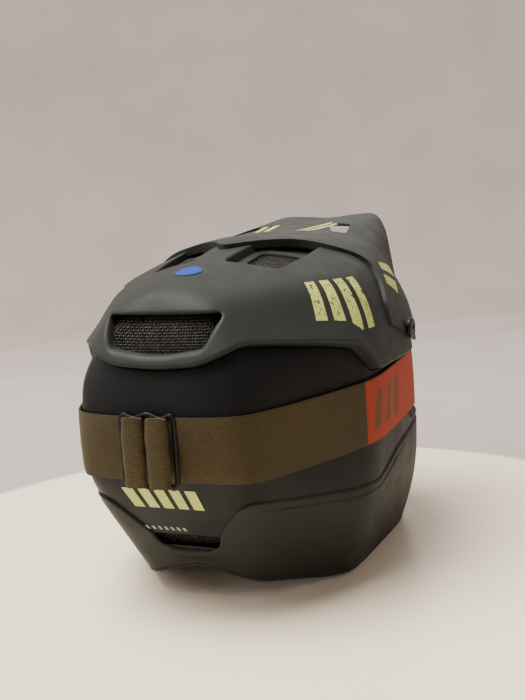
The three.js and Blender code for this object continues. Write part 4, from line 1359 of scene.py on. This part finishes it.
def slider():
    """A rounded frame with a wavy top and bottom and a bar up its middle."""
    half_x, half_z = SLIDER["half_width"] - 1.8, SLIDER["half_height"] - 1.8
    corners = [(-half_x, -half_z), (half_x, -half_z), (half_x, half_z), (-half_x, half_z)]
    outline = resampled(rounded(corners, 6, 8), 220)
    x, z = outline[:, 0], outline[:, 1]
    wave = np.where(np.abs(z) > half_z - 0.3, 1.5 * np.cos(x / half_x * 2 * math.pi) - 1.5, 0)
    y = slider_back() + SLIDER["thick"] / 2
    section = soft_rectangle(SLIDER["bar"] / 2, SLIDER["thick"] / 2, 0.5, 16)

    def path(across, up):
        return np.column_stack([SLIDER["middle"] + across, np.full(len(up), y), STRAP_LEVEL + up])

    edge_bar = swept(path(x, z + np.sign(z) * wave), section, outward=REAR)
    up = np.linspace(-half_z + 2.6, half_z - 2.6, 30)
    middle_bar = swept(path(np.zeros(len(up)), up), section, closed=False, outward=REAR)
    slider_frame = merged("strap_slider.frame", [edge_bar, middle_bar])
    dressed(slider_frame, gloss_moulding, stands_for=["strap_slider"], crisp=60)


FOLD = {"half_x": 8.6, "half_y": 3.7, "half_z": 24.6, "wall": 1.9, "girth": 44}
FOLD_MIDDLES = {"strap_fold_left": 13, "strap_fold_right": -6}


def fold_row(middle_x, turn, level, lump, wall, inset):
    """One level of a fold's outer or inner side, from -1 at the bottom to 1 at the top."""
    tight = 1 - 0.10 * abs(level) ** 5 - 0.03 * math.sin(9 * level + lump[2])
    sag = 0.25 * math.sin(3.1 * level + lump[0]) + 0.15 * math.sin(7 * level + lump[1])
    half_x = (FOLD["half_x"] - wall) * tight
    half_y = (FOLD["half_y"] - wall) * tight
    middle_y = slider_back() + SLIDER["thick"] + 0.5 + FOLD["half_y"]
    return np.column_stack([
        middle_x + half_x * squared(np.cos(turn), 0.8) + sag * 0.6,
        middle_y + half_y * squared(np.sin(turn), 0.8) + 0.3 * sag,
        np.full(len(turn), STRAP_LEVEL + (FOLD["half_z"] - inset) * level),
    ])


def strap_folds():
    """The strap's two fat rolls over the slider: a band of cloth wound into a flat tube."""
    cloth = elastic("olive_fold", OLIVE_DARK, OLIVE_LIGHT)
    rng = np.random.default_rng(4)
    turn = full_turn(56)
    levels = np.linspace(-1, 1, 42)
    for node, middle_x in FOLD_MIDDLES.items():
        lump = rng.uniform(-1, 1, 4)
        rows = [fold_row(middle_x, turn, level, lump, 0, 0) for level in levels]
        rows += [fold_row(middle_x, turn, level, lump, FOLD["wall"], 0.3) for level in levels[::-1]]
        fold = body_from(f"{node}.roll", rows, ring=True)
        girth = np.tile(turn / (2 * math.pi) * FOLD["girth"], (len(rows), 1))
        across = np.array([row[0, 2] - STRAP_LEVEL for row in rows])[:, None] * 0.92
        map_band(fold, len(rows), len(turn), girth, across)
        dressed(fold, cloth, stands_for=[node], crisp=60)


# ---------------------------------------------------------------- printed marks
PRINT_LIFT = 0.25                      # a print lies this far above its surface
PRINT_STEPS = 10


def patch(corners, place, lift):
    """A four-cornered print laid on a surface. `place` turns (u, v, lift) into points."""
    a, b, c, d = (np.array(p, float) for p in corners)
    t = np.linspace(0, 1, PRINT_STEPS)[:, None, None]
    s = np.linspace(0, 1, PRINT_STEPS)[None, :, None]
    flat = (a * (1 - s) + b * s) * (1 - t) + (d * (1 - s) + c * s) * t
    points = place(flat[..., 0], flat[..., 1], lift)
    return points, grid_faces(PRINT_STEPS, PRINT_STEPS).tolist()


def on_side(azimuth, height, lift):
    azimuth = np.radians(azimuth)
    return on_shell(toward(azimuth, elevation_at(azimuth, height)), lift)


def slanted_bars(first, count, step, width, low, high, lean):
    """Corner lists of a row of leaning bars in a surface's (u, v)."""
    bars = []
    for k in range(count):
        u = first + k * step
        bars.append([(u, low), (u + width, low), (u + width + lean, high), (u + lean, high)])
    return bars


CROWN_BARS = slanted_bars(50, 4, 8.2, 5.2, 194, 230, 4.2)           # (degrees off the rear, height)
NECK_BARS = slanted_bars(-13.5, 5, 5.0, 3.4, 81, 97, -1.6)
SMALL_BARS = slanted_bars(-16, 8, 2.3, 1.0, 60.5, 63.5, -0.5)
VISOR_SIDE_BARS = [                                                 # (share across, share along)
    [(0.31, 0.18), (0.335, 0.16), (0.372, 0.52), (0.342, 0.56)],
    [(0.352, 0.14), (0.378, 0.12), (0.412, 0.44), (0.385, 0.49)],
]
VISOR_TOP_BARS = [
    [(0.045, 0.42), (0.060, 0.40), (0.100, 0.66), (0.082, 0.68)],
    [(0.075, 0.38), (0.090, 0.36), (0.128, 0.60), (0.112, 0.63)],
]


def printed(name, bars, place, base, look, body="helmet"):
    """A print of several bars on a surface that stands `base` above the one that `place` finds."""
    patches = [patch(corners, place, base + PRINT_LIFT) for corners in bars]
    return dressed(merged(name, patches), look, body=body, crisp=80)


def marks():
    worn_crown = printed_mark("crown_print", YELLOW_GREEN, CROWN_DARK, 0.50)
    worn_waist = printed_mark("waist_print", YELLOW_GREEN, WAIST_DARK, 0.60)
    pale_waist = printed_mark("small_print", shade(150, 160, 140), WAIST_DARK, 0.58)
    for side, name in RIGHT_AND_LEFT:
        bars = [[(side * u, v) for u, v in corners] for corners in CROWN_BARS]
        printed(f"crown_mark_{name}", bars, on_side, CROWN_STEP, worn_crown)
    printed("neck_mark", NECK_BARS, on_side, 0, worn_waist)
    printed("neck_small_mark", SMALL_BARS, on_side, 0, pale_waist)
    for side, name in RIGHT_AND_LEFT:
        def on_visor(u, v, lift, side=side):
            return visor_point(0.5 + side * u, v, lift)
        for mark, bars in (("visor_mark", VISOR_SIDE_BARS), ("visor_top_mark", VISOR_TOP_BARS)):
            printed(f"{mark}_{name}", bars, on_visor, VISOR_PROUD, worn_crown, body="visor")


# ---------------------------------------------------------------- stage, light and camera
TABLE_REACH = 0.36                     # radius of the pale table top, metres


def stage_material():
    s = Shader("studio_floor")
    split = s.node("ShaderNodeSeparateXYZ", {"Vector": s.where})
    flat = s.node("ShaderNodeCombineXYZ", {"X": split.outputs["X"], "Y": split.outputs["Y"]})
    length = s.node("ShaderNodeVectorMath", {0: flat.outputs["Vector"]}, operation="LENGTH")
    away = length.outputs["Value"]
    wall = s.mottled(5, 2, shade(176, 166, 162), shade(184, 174, 170))
    past_table = s.ramp(away, TABLE_REACH, TABLE_REACH + 0.012)
    s.set(Base_Color=s.blend(past_table, shade(252, 241, 218), wall))
    s.set(Roughness=s.ramp(away, TABLE_REACH, 1.2, 0.3, 0.9))
    return s.material


BOWL = {"floor": 1.8, "curve": 0.7, "top": 2.8}    # metres: flat reach, radius of the curve, height


def stage():
    """A wide bowl: a flat floor that curves up into a wall all round."""
    turn = full_turn(96)
    floor, curve = BOWL["floor"], BOWL["curve"]
    profile = [(reach, 0.0) for reach in (0.0, 0.6, 1.2, floor)]
    for t in np.radians(np.linspace(8, 90, 12)):
        profile.append((floor + curve * math.sin(t), curve * (1 - math.cos(t))))
    profile.append((floor + curve, BOWL["top"]))
    rows = []
    for radius, height in profile:
        loop = np.column_stack([radius * np.cos(turn), radius * np.sin(turn), np.full(len(turn), height)])
        rows.append(loop * 1000 - SHIFT)
    faces = grid_faces(len(rows), len(turn), around=True).tolist()
    bowl = placed("studio_bowl", mesh_from("studio_bowl", np.array(rows), faces))
    bowl.data.materials.append(stage_material())
    bowl.data.shade_smooth()


AIM = Vector((0, 0, 0.12))             # the point that every light looks at, metres


def softbox(name, place, size, watts, colour):
    light = bpy.data.lights.new(name, "AREA")
    light.shape = "RECTANGLE"
    light.size, light.size_y = size
    light.energy = watts
    light.color = colour
    obj = placed(name, light)
    obj.location = place
    obj.rotation_mode = "QUATERNION"
    obj.rotation_quaternion = (AIM - Vector(place)).to_track_quat("-Z", "Y")


def lights():
    softbox("ceiling_softbox", (0.6, 0.4, 2.2), (1.5, 1.5), 134, (1.0, 0.95, 0.87))
    softbox("left_fill", (1.6, 0.9, 1.2), (1.2, 1.2), 15, (1.0, 0.96, 0.93))
    softbox("right_fill", (-1.6, 0.2, 1.2), (1.2, 1.2), 1.5, (1.0, 0.96, 0.92))
    softbox("front_fill", (0.2, -1.7, 1.3), (1.4, 1.0), 7, (1.0, 0.97, 0.95))
    world = bpy.data.worlds.new("studio_air")
    world.use_nodes = True
    background = world.node_tree.nodes["Background"]
    background.inputs["Color"].default_value = (0.92, 0.88, 0.86, 1)
    background.inputs["Strength"].default_value = 0.28
    bpy.context.scene.world = world


# Degrees and millimetres: bearing off the rear, pitch down and roll, then where the camera stands.
CAMERA = {"bearing": 24, "pitch": 8, "roll": 3.5, "height": 296.4, "distance": 845.5, "aside": 21.85}


def camera():
    """Seen from the wearer's rear right, a little from above."""
    bearing, pitch, roll = (math.radians(CAMERA[k]) for k in ("bearing", "pitch", "roll"))
    forward = np.array((math.sin(bearing), -math.cos(bearing), 0.0))
    right = np.array((-math.cos(bearing), -math.sin(bearing), 0.0))
    place = -forward * CAMERA["distance"] + right * CAMERA["aside"] + (0, 0, CAMERA["height"])
    look = forward * math.cos(pitch) - np.array((0, 0, math.sin(pitch)))
    up = np.cross(right, look)
    leaning_right = right * math.cos(roll) - up * math.sin(roll)
    leaning_up = up * math.cos(roll) + right * math.sin(roll)
    data = bpy.data.cameras.new("camera")
    data.lens, data.sensor_width = 54, 36
    data.clip_start = 0.02
    obj = placed("camera", data)
    axes = Matrix((leaning_right, leaning_up, -look)).transposed().to_4x4()
    obj.matrix_world = Matrix.Translation((place + SHIFT) / 1000) @ axes
    bpy.context.scene.camera = obj


# ---------------------------------------------------------------- assembly
def dress_cad_node(node, look):
    """Keeps a right-shaped CAD solid and gives it softened edges and a material."""
    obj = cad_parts[node]
    obj.data.materials.clear()
    obj.data.materials.append(look)
    soften(obj, 0.0006, 2, 40)


crown_layer()
waist_band()
lower_panel()
visor()
visor_screws()
vent_meshes()
eye_port_edging()
bottom_edging()
badge()
liners()
pads()
chin_webs()
d_rings()
rivets()
goggle_frame()
goggle_foam()
goggle_lens()
goggle_strap()
slider()
strap_folds()
marks()
for cad_node in ("mouth_grille", "goggle_outrigger_left", "goggle_outrigger_right"):
    dress_cad_node(cad_node, black_moulding)
stage()
lights()
camera()
